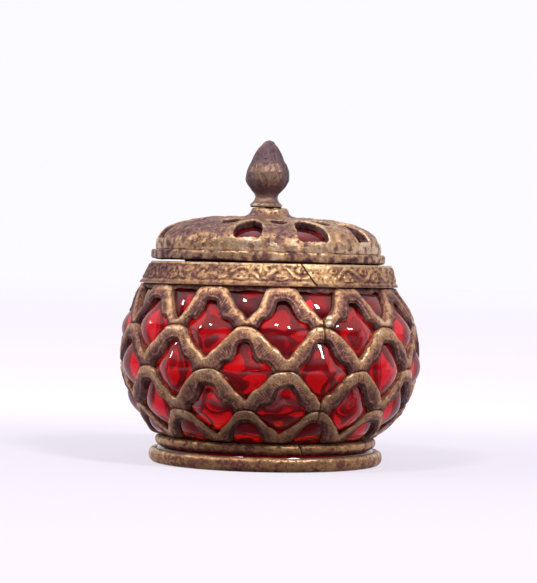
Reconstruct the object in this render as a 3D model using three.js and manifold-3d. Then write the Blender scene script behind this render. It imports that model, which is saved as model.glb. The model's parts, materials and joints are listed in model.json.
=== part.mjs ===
// A lidded pot: a red glass jar blown into a cast openwork cage, with a domed openwork lid.
// Millimetres, +Z up. The origin is at the middle of the base, on the surface the pot stands on.
// An azimuth is measured from the side that faces -Y, and grows towards +X.
import * as THREE from "three";
import { mergeVertices } from "three/addons/utils/BufferGeometryUtils.js";
import Module from "manifold-3d";

const wasm = await Module();
wasm.setup();

const degrees = THREE.MathUtils.degToRad;

// Clearances
const SEAT_GAP = 0.3; // between two faces that rest on each other
const FOOT_CLEARANCE = 0.4; // round the glass foot, in the base ring
const SPIGOT_CLEARANCE = 0.4; // round the lid's spigot, in the mouth
const TANG_CLEARANCE = 0.3; // round the finial's tang

// Cage: four wavy rows, each hung from the crests of the one below
const CAGE_FOOT_RADIUS = 38.0;
const CAGE_BELLY_RADIUS = 50.7;
const CAGE_SHOULDER_RADIUS = 43.1;
const CAGE_BELLY_HEIGHT = 27.2; // of the widest level, above the cage's foot
const CAGE_HEIGHT = 50.8;
const CAGE_THICKNESS = 2.8;
const CAGE_ROWS = 4;
const CAGE_COLUMNS = 12;
const CREST_DEPTH = 5.2; // of a row's strand, at the top of each arch
const TROUGH_DEPTH = 4.3; // of a row's strand, where it stands on the row below
const CROSSING_WIDTH = 8.16; // of the solid metal between two windows side by side
const ARCH_HALF_WIDTH = 2.5; // of the small round arch at the top of a window
const ARCH_DROP = 4.0; // from the top of that arch to the shoulder of the window
const STRAND_EDGE = 0.6; // height of a strand's rounded edge, as a share of its thickness
const SEAM_AZIMUTH = degrees(21.5); // where the ends of the rolled cage meet
const SEAM_WIDTH = 0.9;

// Glass jar
const GLASS_WALL = 2.4;
const GLASS_BULGE = 2.9; // how far the glass swells out in the middle of a window
const GLASS_CLEARANCE = 0.45; // from the inside of the cage, and from the edges of its windows
const GLASS_FOOT_FLARE = 1.6; // how far the foot swells out below the cage
const GLASS_BASE = 2.7;
const NECK_RADIUS = 32.2;
const NECK_WALL = 3.3;
const NECK_HEIGHT = 5.1;

// Metal foot
const BASE_RING_HEIGHT = 4.6;
const BASE_RING_WALL = 2.9;
const BASE_LEDGE = 1.6;
const BASE_LEDGE_WIDTH = 5.4;
const FOOT_GROOVE = 0.7; // between the base ring and the band above it
const FOOT_BAND_HEIGHT = 3.6;
const FOOT_BAND_WALL = 2.6;
const FOOT_BAND_SEAM = 0.5;

// Neck collar
const COLLAR_HEIGHT = 7.4;
const COLLAR_LIP = 0.8; // how far the lip stands out past the cage
const COLLAR_LIP_HEIGHT = 0.9;
const COLLAR_TAPER = 2.4; // how much the top is narrower than the cage's shoulder
const COLLAR_WALL = 1.9;
const COLLAR_TOP = 1.4;
const COLLAR_SEAM_SLANT = degrees(-1.04); // azimuth of the lapped seam, for each millimetre up

// Lid
const LID_RADIUS = 39.2;
const LID_RIM_HEIGHT = 2.8;
const LID_SEAT_STEP = 0.6; // how far the seat under the rim stands down
const LID_SEAT_INSET = 1.6; // of the seat's edge from the rim's
const LID_DOME_STEP = 1.6; // of the dome's foot from the rim's edge
const LID_DOME_HEIGHT = 11.9;
const LID_DOME_WALL = 2.8;
const LID_DOME_SQUARENESS = 3; // exponent of the dome's superellipse
const BOSS_HEIGHT = 2.7;
const BOSS_TOP_RADIUS = 5.8;
const BOSS_FOOT_RADIUS = 9.4;
const LID_GLASS_WALL = 2.0;
const SPIGOT_WALL = 1.2;
const SPIGOT_HEIGHT = 5.0;
const LID_COLUMNS = 11;
const FIRST_LID_WINDOW = degrees(-10.5);
const BLIND_LID_WINDOW = 10; // this one is closed by metal
const LID_WINDOW_INSET = 5.6; // of a large window's middle from the dome's foot
const LID_WINDOW_BAR = 7.6; // of metal between two large windows
const LID_WINDOW_HEIGHT = 12.4;
const SLIT_INSET = 10.6; // of a small window's middle from the dome's foot
const SLIT_BAR = 8.8; // of metal between two small windows
const SLIT_LENGTH = 6.4;

// Finial and what holds it
const FINIAL_FLANGE_RADIUS = 5.3;
const FINIAL_NECK_RADIUS = 3.95;
const FINIAL_BUD_RADIUS = 7.25;
const FINIAL_NECK_HEIGHT = 3.5; // of the waist, above the flange's underside
const FINIAL_BUD_HEIGHT = 9.7; // of the widest level
const FINIAL_HEIGHT = 22.8;
const TANG_RADIUS = 1.6; // of the shank that goes down through the lid
const TANG_HEAD_RADIUS = 3.0; // of its end, hammered over under the washer
const TANG_HEAD_HEIGHT = 1.3;
const WASHER_RADIUS = 5.0;
const WASHER_THICKNESS = 0.8;

// Facets round each turned piece
const FINE_FACETS = 40;
const PLAIN_FACETS = 32;
const DOME_FACETS = 3 * LID_COLUMNS;
const SMALL_FACETS = 18;

// Levels, from the floor up
const BAND_Z = BASE_RING_HEIGHT + FOOT_GROOVE;
const CAGE_Z = BAND_Z + FOOT_BAND_HEIGHT + SEAT_GAP;
const CAGE_TOP_Z = CAGE_Z + CAGE_HEIGHT;
const COLLAR_Z = CAGE_TOP_Z + SEAT_GAP;
const COLLAR_TOP_Z = COLLAR_Z + COLLAR_HEIGHT;
const LID_SEAT_Z = COLLAR_TOP_Z + SEAT_GAP;
const LID_RIM_Z = LID_SEAT_Z + LID_SEAT_STEP;
const DOME_Z = LID_RIM_Z + LID_RIM_HEIGHT + SEAT_GAP;
const DOME_TOP_Z = DOME_Z + LID_DOME_HEIGHT;
const BOSS_TOP_Z = DOME_TOP_Z + BOSS_HEIGHT;
const FINIAL_Z = BOSS_TOP_Z + SEAT_GAP;
const LID_GLASS_TOP_Z = DOME_TOP_Z - LID_DOME_WALL - SEAT_GAP;
const WASHER_Z = LID_GLASS_TOP_Z - LID_GLASS_WALL - SEAT_GAP - WASHER_THICKNESS;
const TANG_HEAD_Z = WASHER_Z - SEAT_GAP - TANG_HEAD_HEIGHT;

// Radii that follow from the ones above
const GLASS_WAIST_RADIUS = CAGE_FOOT_RADIUS - CAGE_THICKNESS - GLASS_CLEARANCE;
const GLASS_FOOT_RADIUS = GLASS_WAIST_RADIUS + GLASS_FOOT_FLARE;
const BASE_RING_BORE = GLASS_FOOT_RADIUS + FOOT_CLEARANCE;
const FOOT_BAND_BORE = GLASS_WAIST_RADIUS + SEAT_GAP;
const COLLAR_TOP_RADIUS = CAGE_SHOULDER_RADIUS - COLLAR_TAPER;
const MOUTH_RADIUS = NECK_RADIUS - NECK_WALL;
const SPIGOT_RADIUS = MOUTH_RADIUS - SPIGOT_CLEARANCE;
const LID_RIM_BORE = SPIGOT_RADIUS - SPIGOT_WALL - SPIGOT_CLEARANCE;
const DOME_RADIUS = LID_RADIUS - LID_DOME_STEP;
const LID_WINDOW_RADIUS = DOME_RADIUS - LID_WINDOW_INSET;
const LID_WINDOW_WIDTH = (2 * Math.PI * LID_WINDOW_RADIUS) / LID_COLUMNS - LID_WINDOW_BAR;
const SLIT_RADIUS = DOME_RADIUS - SLIT_INSET;
const SLIT_WIDTH = (2 * Math.PI * SLIT_RADIUS) / LID_COLUMNS - SLIT_BAR;
const TANG_HOLE_RADIUS = TANG_RADIUS + TANG_CLEARANCE;

// Shapes shared by several pieces

/** A point at a radius, an azimuth and a height. */
function polar(radius, azimuth, z) {
  return [radius * Math.sin(azimuth), -radius * Math.cos(azimuth), z];
}

/** Turns a profile of [radius, z] pairs round the Z axis. */
function turned(profile, facets = FINE_FACETS) {
  const points = profile.map(([r, z]) => new THREE.Vector2(r, z));
  return new THREE.LatheGeometry(points, facets).rotateX(Math.PI / 2);
}

/** Turns a closed section, given anticlockwise, into a full ring. */
function turnedRing(section, facets = FINE_FACETS) {
  return turned([...section, section[0]], facets);
}

/** A curve y(x) that passes smoothly through knots of rising x, and never overshoots them. */
function smoothThrough(knots) {
  const slope = knots.slice(1).map(([x, y], i) => (y - knots[i][1]) / (x - knots[i][0]));
  const tangent = knots.map((_, i) => {
    const before = slope[Math.max(i - 1, 0)];
    const after = slope[Math.min(i, slope.length - 1)];
    return before * after <= 0 ? 0 : (2 * before * after) / (before + after);
  });
  return (x) => {
    const last = knots.length - 2;
    const found = knots.findIndex(([end], i) => i > 0 && x <= end) - 1;
    const i = found < 0 ? last : Math.min(found, last);
    const width = knots[i + 1][0] - knots[i][0];
    const t = THREE.MathUtils.clamp((x - knots[i][0]) / width, 0, 1);
    const keep = 1 - t;
    return (
      keep * keep * (1 + 2 * t) * knots[i][1] +
      t * t * (3 - 2 * t) * knots[i + 1][1] +
      width * t * keep * (keep * tangent[i] - t * tangent[i + 1])
    );
  };
}

/** Joins sections of equal length into one solid, either all round or with its two ends closed. */
function loft(sections, allRound) {
  const size = sections[0].length;
  const index = [];
  const spans = allRound ? sections.length : sections.length - 1;
  for (let i = 0; i < spans; i++) {
    const here = i * size;
    const next = ((i + 1) % sections.length) * size;
    for (let j = 0; j < size; j++) {
      const k = (j + 1) % size;
      index.push(here + j, next + j, next + k, here + j, next + k, here + k);
    }
  }
  if (!allRound) {
    const end = (sections.length - 1) * size;
    for (let j = 1; j < size - 1; j++) {
      index.push(0, j, j + 1, end, end + j + 1, end + j);
    }
  }
  return surface(sections.flat(), index);
}

/** A geometry from points and triangles. */
function surface(points, index) {
  const geometry = new THREE.BufferGeometry();
  geometry.setAttribute("position", new THREE.Float32BufferAttribute(points.flat(), 3));
  geometry.setIndex(index);
  geometry.computeVertexNormals();
  return geometry;
}

/** A closed geometry as a solid that can be cut. */
function solid(geometry) {
  const bare = geometry.clone();
  bare.deleteAttribute("normal");
  bare.deleteAttribute("uv");
  const merged = mergeVertices(bare, 1e-4);
  return new wasm.Manifold(
    new wasm.Mesh({
      numProp: 3,
      vertProperties: new Float32Array(merged.attributes.position.array),
      triVerts: new Uint32Array(merged.index.array),
    }),
  );
}

/** A cut solid as a geometry again. */
function geometryOf(cut) {
  const mesh = cut.getMesh();
  const geometry = new THREE.BufferGeometry();
  geometry.setAttribute("position", new THREE.BufferAttribute(mesh.vertProperties, 3));
  geometry.setIndex(new THREE.BufferAttribute(mesh.triVerts, 1));
  geometry.computeVertexNormals();
  return geometry;
}

// The cage's outline: a part of an ellipse below the belly, and of a taller one above it

const BELLY_Z = CAGE_Z + CAGE_BELLY_HEIGHT;
const LOWER_SEMI_AXIS =
  CAGE_BELLY_HEIGHT / Math.sqrt(1 - (CAGE_FOOT_RADIUS / CAGE_BELLY_RADIUS) ** 2);
const UPPER_SEMI_AXIS =
  (CAGE_HEIGHT - CAGE_BELLY_HEIGHT) /
  Math.sqrt(1 - (CAGE_SHOULDER_RADIUS / CAGE_BELLY_RADIUS) ** 2);

/** The cage's outer radius at a height. */
function cageRadius(z) {
  const rise = z - BELLY_Z;
  const semiAxis = rise < 0 ? LOWER_SEMI_AXIS : UPPER_SEMI_AXIS;
  return CAGE_BELLY_RADIUS * Math.sqrt(Math.max(0, 1 - (rise / semiAxis) ** 2));
}

// Lengths down the outside of the cage, from its top, in small steps
const MERIDIAN_STEPS = 400;
const meridian = [[0, CAGE_TOP_Z]];
for (let i = 1; i <= MERIDIAN_STEPS; i++) {
  const z = CAGE_TOP_Z - (CAGE_HEIGHT * i) / MERIDIAN_STEPS;
  const [length, above] = meridian[i - 1];
  meridian.push([length + Math.hypot(above - z, cageRadius(above) - cageRadius(z)), z]);
}
const MERIDIAN_LENGTH = meridian[MERIDIAN_STEPS][0];
const ROW_PITCH = MERIDIAN_LENGTH / CAGE_ROWS;
const HALF_COLUMN = Math.PI / CAGE_COLUMNS;
const HALF_COLUMN_LENGTH = CAGE_BELLY_RADIUS * HALF_COLUMN;

/** The height at a length down the outside of the cage. */
function heightAt(length) {
  const i = meridian.findIndex(([reached]) => reached >= length);
  if (i < 0) return CAGE_Z;
  if (i === 0) return CAGE_TOP_Z;
  const [before, above] = meridian[i - 1];
  const [after, below] = meridian[i];
  return THREE.MathUtils.lerp(above, below, (length - before) / (after - before));
}

// The two edges of a row's strand, as a drop below the row's crests. Each is a function of the
// distance from the middle of an arch, measured round the belly.
const HALF_CROSSING = CROSSING_WIDTH / 2;
const upperEdge = smoothThrough([
  [0, 0],
  [HALF_CROSSING - 1.7, 0.12],
  [HALF_CROSSING + 0.1, 0.8],
  [HALF_CROSSING + 2.2, 2.8],
  [HALF_COLUMN_LENGTH - HALF_CROSSING, 6.1],
  [HALF_COLUMN_LENGTH, ROW_PITCH - TROUGH_DEPTH],
]);
const lowerEdge = smoothThrough([
  [0, CREST_DEPTH],
  [ARCH_HALF_WIDTH - 1.1, CREST_DEPTH + 0.15],
  [ARCH_HALF_WIDTH, CREST_DEPTH + 1.2],
  [ARCH_HALF_WIDTH + 1.0, CREST_DEPTH + ARCH_DROP],
  [ARCH_HALF_WIDTH + 2.4, CREST_DEPTH + ARCH_DROP + 1.9],
  [HALF_COLUMN_LENGTH - HALF_CROSSING, ROW_PITCH - SEAT_GAP - 0.1],
  [HALF_COLUMN_LENGTH, ROW_PITCH - SEAT_GAP],
]);
const strandStations = [
  0,
  ARCH_HALF_WIDTH - 0.5,
  ARCH_HALF_WIDTH + 0.8,
  HALF_CROSSING + 1.5,
  HALF_COLUMN_LENGTH - HALF_CROSSING,
  HALF_COLUMN_LENGTH,
];

/** The section of row number `row` (0 at the top) at a distance from the middle of an arch. */
function strandSection(row, distance, azimuth) {
  const top = row * ROW_PITCH + upperEdge(distance);
  const bottom = row * ROW_PITCH + lowerEdge(distance);
  const edge = STRAND_EDGE * CAGE_THICKNESS;
  return [
    [bottom, 0],
    [bottom, edge],
    [(top + bottom) / 2, CAGE_THICKNESS],
    [top, edge],
    [top, 0],
  ].map(([length, outwards]) => {
    const z = heightAt(length);
    return polar(cageRadius(z) - CAGE_THICKNESS + outwards, azimuth, z);
  });
}

/** One row of the cage: a strip rolled into a ring, with its two ends at the seam. */
function cageRow(row) {
  const sections = [];
  for (let half = 0; half < 2 * CAGE_COLUMNS; half++) {
    const falling = (half + row) % 2 === 1;
    const distances = falling ? strandStations : [...strandStations].reverse();
    for (const distance of distances.slice(0, -1)) {
      const along = falling ? distance : HALF_COLUMN_LENGTH - distance;
      const turn = half * HALF_COLUMN + along / CAGE_BELLY_RADIUS;
      sections.push(strandSection(row, distance, SEAM_AZIMUTH + turn));
    }
  }
  const atSeam = row % 2 === 1 ? 0 : HALF_COLUMN_LENGTH;
  const open = SEAM_WIDTH / 2 / CAGE_BELLY_RADIUS;
  sections[0] = strandSection(row, atSeam, SEAM_AZIMUTH + open);
  sections.push(strandSection(row, atSeam, SEAM_AZIMUTH + 2 * Math.PI - open));
  return loft(sections, false);
}

/** The bead of braze that bridges the seam, at the foot of the top row. */
function seamBraze() {
  const height = 4.4;
  const halfWidth = 1.7;
  const proud = 1.0;
  const z = heightAt(ROW_PITCH - TROUGH_DEPTH / 2);
  const radius = cageRadius(z) + SEAT_GAP + proud * 0.5;
  const [x, y] = polar(radius, SEAM_AZIMUTH, z);
  return new THREE.SphereGeometry(1, 10, 7)
    .scale(halfWidth, proud / 2, height / 2)
    .rotateX(-degrees(18))
    .rotateZ(SEAM_AZIMUTH)
    .translate(x, y, z);
}

// The glass jar

/** Points and triangles that make up one closed skin. */
class Skin {
  points = [];
  index = [];

  /** Adds a point and returns its number. */
  point(position) {
    return this.points.push(position) - 1;
  }

  /** Adds a level ring of points, the first at the seam's azimuth, and returns their numbers. */
  ring(count, radius, z) {
    return Array.from({ length: count }, (_, i) =>
      this.point(polar(radius, SEAM_AZIMUTH + (2 * Math.PI * i) / count, z)),
    );
  }

  quad(a, b, c, d, slant) {
    this.index.push(...(slant ? [a, b, d, b, c, d] : [a, b, c, a, c, d]));
  }

  /** Joins a ring to the next one, which has as many points, half as many, or only one. */
  join(ring, next) {
    const count = ring.length;
    for (let i = 0; i < count; i++) {
      const [a, b] = [ring[i], ring[(i + 1) % count]];
      if (next.length === 1) this.index.push(a, b, next[0]);
      else if (next.length === count) this.quad(a, b, next[(i + 1) % count], next[i], false);
      else if (i % 2 === 0) this.index.push(a, b, next[i / 2]);
      else {
        const [from, to] = [next[(i - 1) / 2], next[((i + 1) / 2) % next.length]];
        this.index.push(a, b, to, a, to, from);
      }
    }
  }

  /** Joins every ring of a stack to the next. */
  joinAll(rings) {
    rings.slice(1).forEach((next, i) => this.join(rings[i], next));
  }

  /** Joins a ring to one of twice as many points, or joins a lone point to a ring. */
  spread(ring, next) {
    const start = this.index.length;
    this.join(next, ring);
    for (let i = start; i < this.index.length; i += 3) {
      [this.index[i], this.index[i + 1]] = [this.index[i + 1], this.index[i]];
    }
  }
}

// Columns of the belly's net in half a window's width, by distance from the middle of an arch
const netColumns = [
  0,
  HALF_CROSSING,
  HALF_COLUMN_LENGTH / 2,
  HALF_COLUMN_LENGTH - HALF_CROSSING,
];
const NET_COLUMNS = 2 * CAGE_COLUMNS * netColumns.length;
const SMALLEST_OPENING = 1.4; // a window lower than this is left shut in the net

/** The radius of the glass behind the strands, at a height. */
function glassRadius(z) {
  return cageRadius(z) - CAGE_THICKNESS - GLASS_CLEARANCE;
}

/** Distance of column number `column` from the middle of the nearest arch of a row. */
function columnDistance(column, row) {
  const half = Math.floor(column / netColumns.length) + row;
  const along = netColumns[column % netColumns.length];
  return half % 2 === 1 ? along : HALF_COLUMN_LENGTH - along;
}

/** Adds the points of one column of one window, from its top to its bottom. */
function windowColumn(skin, window, column) {
  const rowAbove = window - 1;
  const rowBelow = window;
  const top =
    rowAbove < 0
      ? 0
      : rowAbove * ROW_PITCH + lowerEdge(columnDistance(column, rowAbove)) + GLASS_CLEARANCE;
  const bottom =
    rowBelow < CAGE_ROWS
      ? rowBelow * ROW_PITCH + upperEdge(columnDistance(column, rowBelow)) - GLASS_CLEARANCE
      : MERIDIAN_LENGTH;
  const turn = Math.floor(column / netColumns.length) * HALF_COLUMN;
  const azimuth = SEAM_AZIMUTH + turn + netColumns[column % netColumns.length] / CAGE_BELLY_RADIUS;
  const place = (length, swell) => {
    const z = heightAt(length);
    return skin.point(polar(glassRadius(z) + swell, azimuth, z));
  };
  if (window === 0 && bottom < SMALLEST_OPENING) return [place(0, 0)];
  if (window === CAGE_ROWS && top > MERIDIAN_LENGTH - SMALLEST_OPENING) {
    return [place(MERIDIAN_LENGTH, 0)];
  }
  if (bottom - top < SMALLEST_OPENING) return [place((top + bottom) / 2, 0)];
  const fromMiddle = columnDistance(column, window + 1) / (HALF_COLUMN_LENGTH - HALF_CROSSING);
  const across = (1 - Math.min(fromMiddle, 1) ** 2) ** 0.6;
  return [0, 0.26, 0.74, 1].map((share) => {
    const swell = share % 1 === 0 ? 0 : GLASS_BULGE * across;
    return place(THREE.MathUtils.lerp(top, bottom, share), swell);
  });
}

/** Adds the belly, which swells out through each window, and returns its lowest and top rings. */
function addBelly(skin) {
  const columns = Array.from({ length: NET_COLUMNS }, (_, column) =>
    Array.from({ length: CAGE_ROWS + 1 }, (_, window) => windowColumn(skin, window, column)),
  );
  columns.forEach((left, column) => {
    const right = columns[(column + 1) % NET_COLUMNS];
    for (let window = 0; window <= CAGE_ROWS; window++) {
      const [a, b] = [left[window], right[window]];
      const rising = (Math.floor(column / netColumns.length) + window) % 2 === 0;
      for (let i = 1; i < Math.max(a.length, b.length); i++) {
        if (a.length === 1) skin.index.push(a[0], b[i], b[i - 1]);
        else if (b.length === 1) skin.index.push(a[i], b[0], a[i - 1]);
        else skin.quad(a[i], b[i], b[i - 1], a[i - 1], (i > 1) === rising);
      }
      if (window === CAGE_ROWS) continue;
      const [c, d] = [left[window + 1], right[window + 1]];
      skin.quad(c[0], d[0], b[b.length - 1], a[a.length - 1], !rising);
    }
  });
  return [columns.map((column) => column[CAGE_ROWS].at(-1)), columns.map((column) => column[0][0])];
}

/** The blown jar: a foot, a belly that swells out through each window, and a straight neck. */
function glassJar() {
  const skin = new Skin();
  const half = NET_COLUMNS / 2;
  const neckZ = COLLAR_TOP_Z - NECK_HEIGHT;
  const footZ = BASE_LEDGE + SEAT_GAP;
  const insideZ = footZ + GLASS_BASE;
  const shoulder = glassRadius(CAGE_TOP_Z);
  const foot = [
    [skin.point([0, 0, footZ + 0.6])],
    skin.ring(half, GLASS_FOOT_RADIUS - 3, footZ),
    skin.ring(half, GLASS_FOOT_RADIUS, footZ + 1),
    skin.ring(half, GLASS_FOOT_RADIUS, BAND_Z - FOOT_GROOVE - 0.6),
    skin.ring(half, GLASS_WAIST_RADIUS, BAND_Z),
  ];
  const [bellyFoot, bellyTop] = addBelly(skin);
  skin.spread(foot[0], foot[1]);
  skin.joinAll(foot.slice(1));
  skin.spread(foot.at(-1), bellyFoot);
  const upper = [
    skin.ring(half, THREE.MathUtils.lerp(NECK_RADIUS, shoulder, 0.6), CAGE_TOP_Z + 1.2),
    skin.ring(half, NECK_RADIUS, neckZ),
    skin.ring(half, NECK_RADIUS, COLLAR_TOP_Z),
    skin.ring(half, MOUTH_RADIUS, COLLAR_TOP_Z),
    skin.ring(half, MOUTH_RADIUS, neckZ - GLASS_WALL / 2),
  ];
  const innerRings = 5;
  for (let i = 0; i < innerRings; i++) {
    const z = THREE.MathUtils.lerp(CAGE_TOP_Z - GLASS_WALL, CAGE_Z, i / (innerRings - 1));
    upper.push(skin.ring(half / 2, glassRadius(z) - GLASS_WALL, z));
  }
  upper.push(
    skin.ring(half / 2, GLASS_WAIST_RADIUS - GLASS_WALL - 4, insideZ),
    [skin.point([0, 0, insideZ])],
  );
  skin.join(bellyTop, upper[0]);
  skin.joinAll(upper);
  return surface(skin.points, skin.index);
}

// The metal foot

/** The ring that the pot stands on, with a ledge under the glass foot. */
function baseRing() {
  const outer = BASE_RING_BORE + BASE_RING_WALL;
  const bore = BASE_RING_BORE - BASE_LEDGE_WIDTH;
  const round = BASE_RING_HEIGHT / 2;
  const arc = [];
  for (let i = 0; i <= 3; i++) {
    const angle = degrees(-66 + 44 * i);
    const across = outer - 1.7 * (1 - Math.cos(angle));
    arc.push([across, round * (1 + Math.sin(angle) / Math.sin(degrees(66)))]);
  }
  return turnedRing([
    [bore, 0],
    ...arc,
    [BASE_RING_BORE, BASE_RING_HEIGHT],
    [BASE_RING_BORE, BASE_LEDGE],
    [bore, BASE_LEDGE],
  ]);
}

/** The half-round band that the cage stands on. It's a strip bent round, with an open seam. */
function footBand() {
  const outer = FOOT_BAND_BORE + FOOT_BAND_WALL;
  const top = BAND_Z + FOOT_BAND_HEIGHT;
  const middle = BAND_Z + FOOT_BAND_HEIGHT / 2;
  const section = [
    [FOOT_BAND_BORE, BAND_Z],
    [outer - 0.9, BAND_Z],
    [outer - 0.15, middle - 0.9],
    [outer - 0.15, middle + 0.9],
    [outer - 0.9, top],
    [FOOT_BAND_BORE, top],
  ];
  return bentStrip(section, SEAM_AZIMUTH - degrees(1), FOOT_BAND_SEAM / outer, 0);
}

/** A strip of one section bent into a ring. Its seam may lean, by an azimuth for each millimetre. */
function bentStrip(section, seam, opening, slant) {
  const low = Math.min(...section.map(([, z]) => z));
  const sections = [];
  for (let i = 0; i <= FINE_FACETS; i++) {
    const turn = THREE.MathUtils.lerp(opening / 2, 2 * Math.PI - opening / 2, i / FINE_FACETS);
    sections.push(section.map(([r, z]) => polar(r, seam + turn + slant * (z - low), z)));
  }
  return loft(sections, false);
}

/** The flared collar round the neck, with a lip over the cage and a flat top round the mouth. */
function neckCollar() {
  const lip = CAGE_SHOULDER_RADIUS + COLLAR_LIP;
  const lipTop = COLLAR_Z + COLLAR_LIP_HEIGHT;
  const under = COLLAR_TOP_Z - COLLAR_TOP;
  const bore = NECK_RADIUS + SEAT_GAP;
  const section = [
    [lip - COLLAR_LIP - COLLAR_WALL, COLLAR_Z],
    [lip, COLLAR_Z],
    [lip, lipTop],
    [lip - COLLAR_LIP - 0.3, lipTop + 0.5],
    [COLLAR_TOP_RADIUS, COLLAR_TOP_Z],
    [bore, COLLAR_TOP_Z],
    [bore, under],
    [COLLAR_TOP_RADIUS - COLLAR_WALL, under],
  ];
  return bentStrip(section, SEAM_AZIMUTH + degrees(3.2), SEAT_GAP / lip, COLLAR_SEAM_SLANT);
}

// The lid

/** The height of a superellipse dome over its foot, at a radius. */
function domeHeight(radius, footRadius, height) {
  const n = LID_DOME_SQUARENESS;
  const across = Math.min(1, radius / footRadius);
  return height * (1 - across ** n) ** (1 / n);
}

/** A dome's outline from its foot to a radius near the axis, as [radius, z] pairs. */
function domeOutline(footRadius, height, lastRadius, steps) {
  const n = LID_DOME_SQUARENESS;
  const last = Math.asin((lastRadius / footRadius) ** (n / 2));
  return Array.from({ length: steps + 1 }, (_, i) => {
    const angle = THREE.MathUtils.lerp(Math.PI / 2, last, i / steps);
    const radius = footRadius * Math.sin(angle) ** (2 / n);
    return [radius, DOME_Z + domeHeight(radius, footRadius, height)];
  });
}

/** The rim plate: a flat ring, with a seat under it that rests on the collar and the neck. */
function lidRim() {
  const top = LID_RIM_Z + LID_RIM_HEIGHT;
  const seatEdge = LID_RADIUS - LID_SEAT_INSET;
  return turnedRing([
    [LID_RIM_BORE, LID_SEAT_Z],
    [seatEdge, LID_SEAT_Z],
    [seatEdge, LID_RIM_Z],
    [LID_RADIUS, LID_RIM_Z],
    [LID_RADIUS, top - 0.5],
    [LID_RADIUS - 0.5, top],
    [LID_RIM_BORE, top],
  ]);
}

/** The short ring under the rim that keeps the lid in the mouth. */
function lidSpigot() {
  const top = LID_SEAT_Z - SEAT_GAP;
  return turnedRing(
    [
      [SPIGOT_RADIUS - SPIGOT_WALL, top - SPIGOT_HEIGHT],
      [SPIGOT_RADIUS - 0.3, top - SPIGOT_HEIGHT],
      [SPIGOT_RADIUS, top - SPIGOT_HEIGHT + 0.8],
      [SPIGOT_RADIUS, top],
      [SPIGOT_RADIUS - SPIGOT_WALL, top],
    ],
    PLAIN_FACETS,
  );
}

/** A prism that cuts a window through the dome, square to its surface at the given radius. */
function windowCutter(outline, azimuth, radius) {
  const n = LID_DOME_SQUARENESS;
  const rise = domeHeight(radius, DOME_RADIUS, LID_DOME_HEIGHT);
  const outwards = radius ** (n - 1) / DOME_RADIUS ** n;
  const upwards = rise ** (n - 1) / LID_DOME_HEIGHT ** n;
  const lean = Math.atan2(outwards, upwards);
  const depth = 3 * LID_DOME_WALL;
  const [x, y, z] = polar(radius, azimuth, DOME_Z + rise);
  const prism = new THREE.ExtrudeGeometry(outline, {
    depth,
    bevelEnabled: false,
    curveSegments: 2,
  });
  prism.translate(0, 0, -depth / 2);
  prism.rotateX(lean);
  prism.rotateZ(azimuth);
  prism.translate(x, y, z);
  return solid(prism);
}

/** The outline of a large window: a flat sill and a pointed arch. */
function archOutline() {
  const half = LID_WINDOW_WIDTH / 2;
  const low = -LID_WINDOW_HEIGHT / 2;
  const high = LID_WINDOW_HEIGHT / 2;
  const shape = new THREE.Shape();
  shape.moveTo(-half * 0.9, low);
  shape.lineTo(half * 0.9, low);
  shape.quadraticCurveTo(half * 1.2, high * 0.5, 0, high);
  shape.quadraticCurveTo(-half * 1.2, high * 0.5, -half * 0.9, low);
  return shape;
}

/** The outline of a small window in the crown: it narrows to a point towards the rim. */
function slitOutline() {
  const half = SLIT_WIDTH / 2;
  const low = -SLIT_LENGTH / 2;
  const high = SLIT_LENGTH / 2;
  const shape = new THREE.Shape();
  shape.moveTo(0, low);
  shape.lineTo(half, high - 1);
  shape.quadraticCurveTo(0, high + 1, -half, high - 1);
  return shape;
}

/** The cast dome with two rings of windows, and the boss that the finial stands on. */
function lidDome() {
  const innerRadius = DOME_RADIUS - LID_DOME_WALL;
  const innerHeight = LID_DOME_HEIGHT - LID_DOME_WALL;
  const outside = domeOutline(DOME_RADIUS, LID_DOME_HEIGHT, BOSS_FOOT_RADIUS, 6);
  const inside = domeOutline(innerRadius, innerHeight, TANG_HOLE_RADIUS, 4);
  const bossSide = THREE.MathUtils.lerp(BOSS_TOP_RADIUS, BOSS_FOOT_RADIUS, 0.3);
  const section = [
    ...inside.reverse(),
    ...outside,
    [bossSide, DOME_TOP_Z + BOSS_HEIGHT * 0.35],
    [BOSS_TOP_RADIUS, BOSS_TOP_Z - 0.5],
    [BOSS_TOP_RADIUS - 0.6, BOSS_TOP_Z],
    [TANG_HOLE_RADIUS, BOSS_TOP_Z],
  ];
  const shell = solid(turnedRing(section, DOME_FACETS));
  const pitch = (2 * Math.PI) / LID_COLUMNS;
  let dome = shell;
  for (let i = 0; i < LID_COLUMNS; i++) {
    const azimuth = FIRST_LID_WINDOW + pitch * i;
    if (i !== BLIND_LID_WINDOW) {
      dome = dome.subtract(windowCutter(archOutline(), azimuth, LID_WINDOW_RADIUS));
    }
    dome = dome.subtract(windowCutter(slitOutline(), azimuth + pitch / 2, SLIT_RADIUS));
  }
  return geometryOf(dome);
}

/** The red glass lining under the dome, with a hole for the finial's tang. */
function lidGlass() {
  const outerRadius = DOME_RADIUS - LID_DOME_WALL - SEAT_GAP;
  const outerHeight = LID_GLASS_TOP_Z - DOME_Z;
  const hole = TANG_HOLE_RADIUS + TANG_CLEARANCE;
  const outside = domeOutline(outerRadius, outerHeight, hole, 4);
  const inside = domeOutline(outerRadius - LID_GLASS_WALL, outerHeight - LID_GLASS_WALL, hole, 4);
  return turnedRing([...inside.reverse(), ...outside], DOME_FACETS);
}

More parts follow.
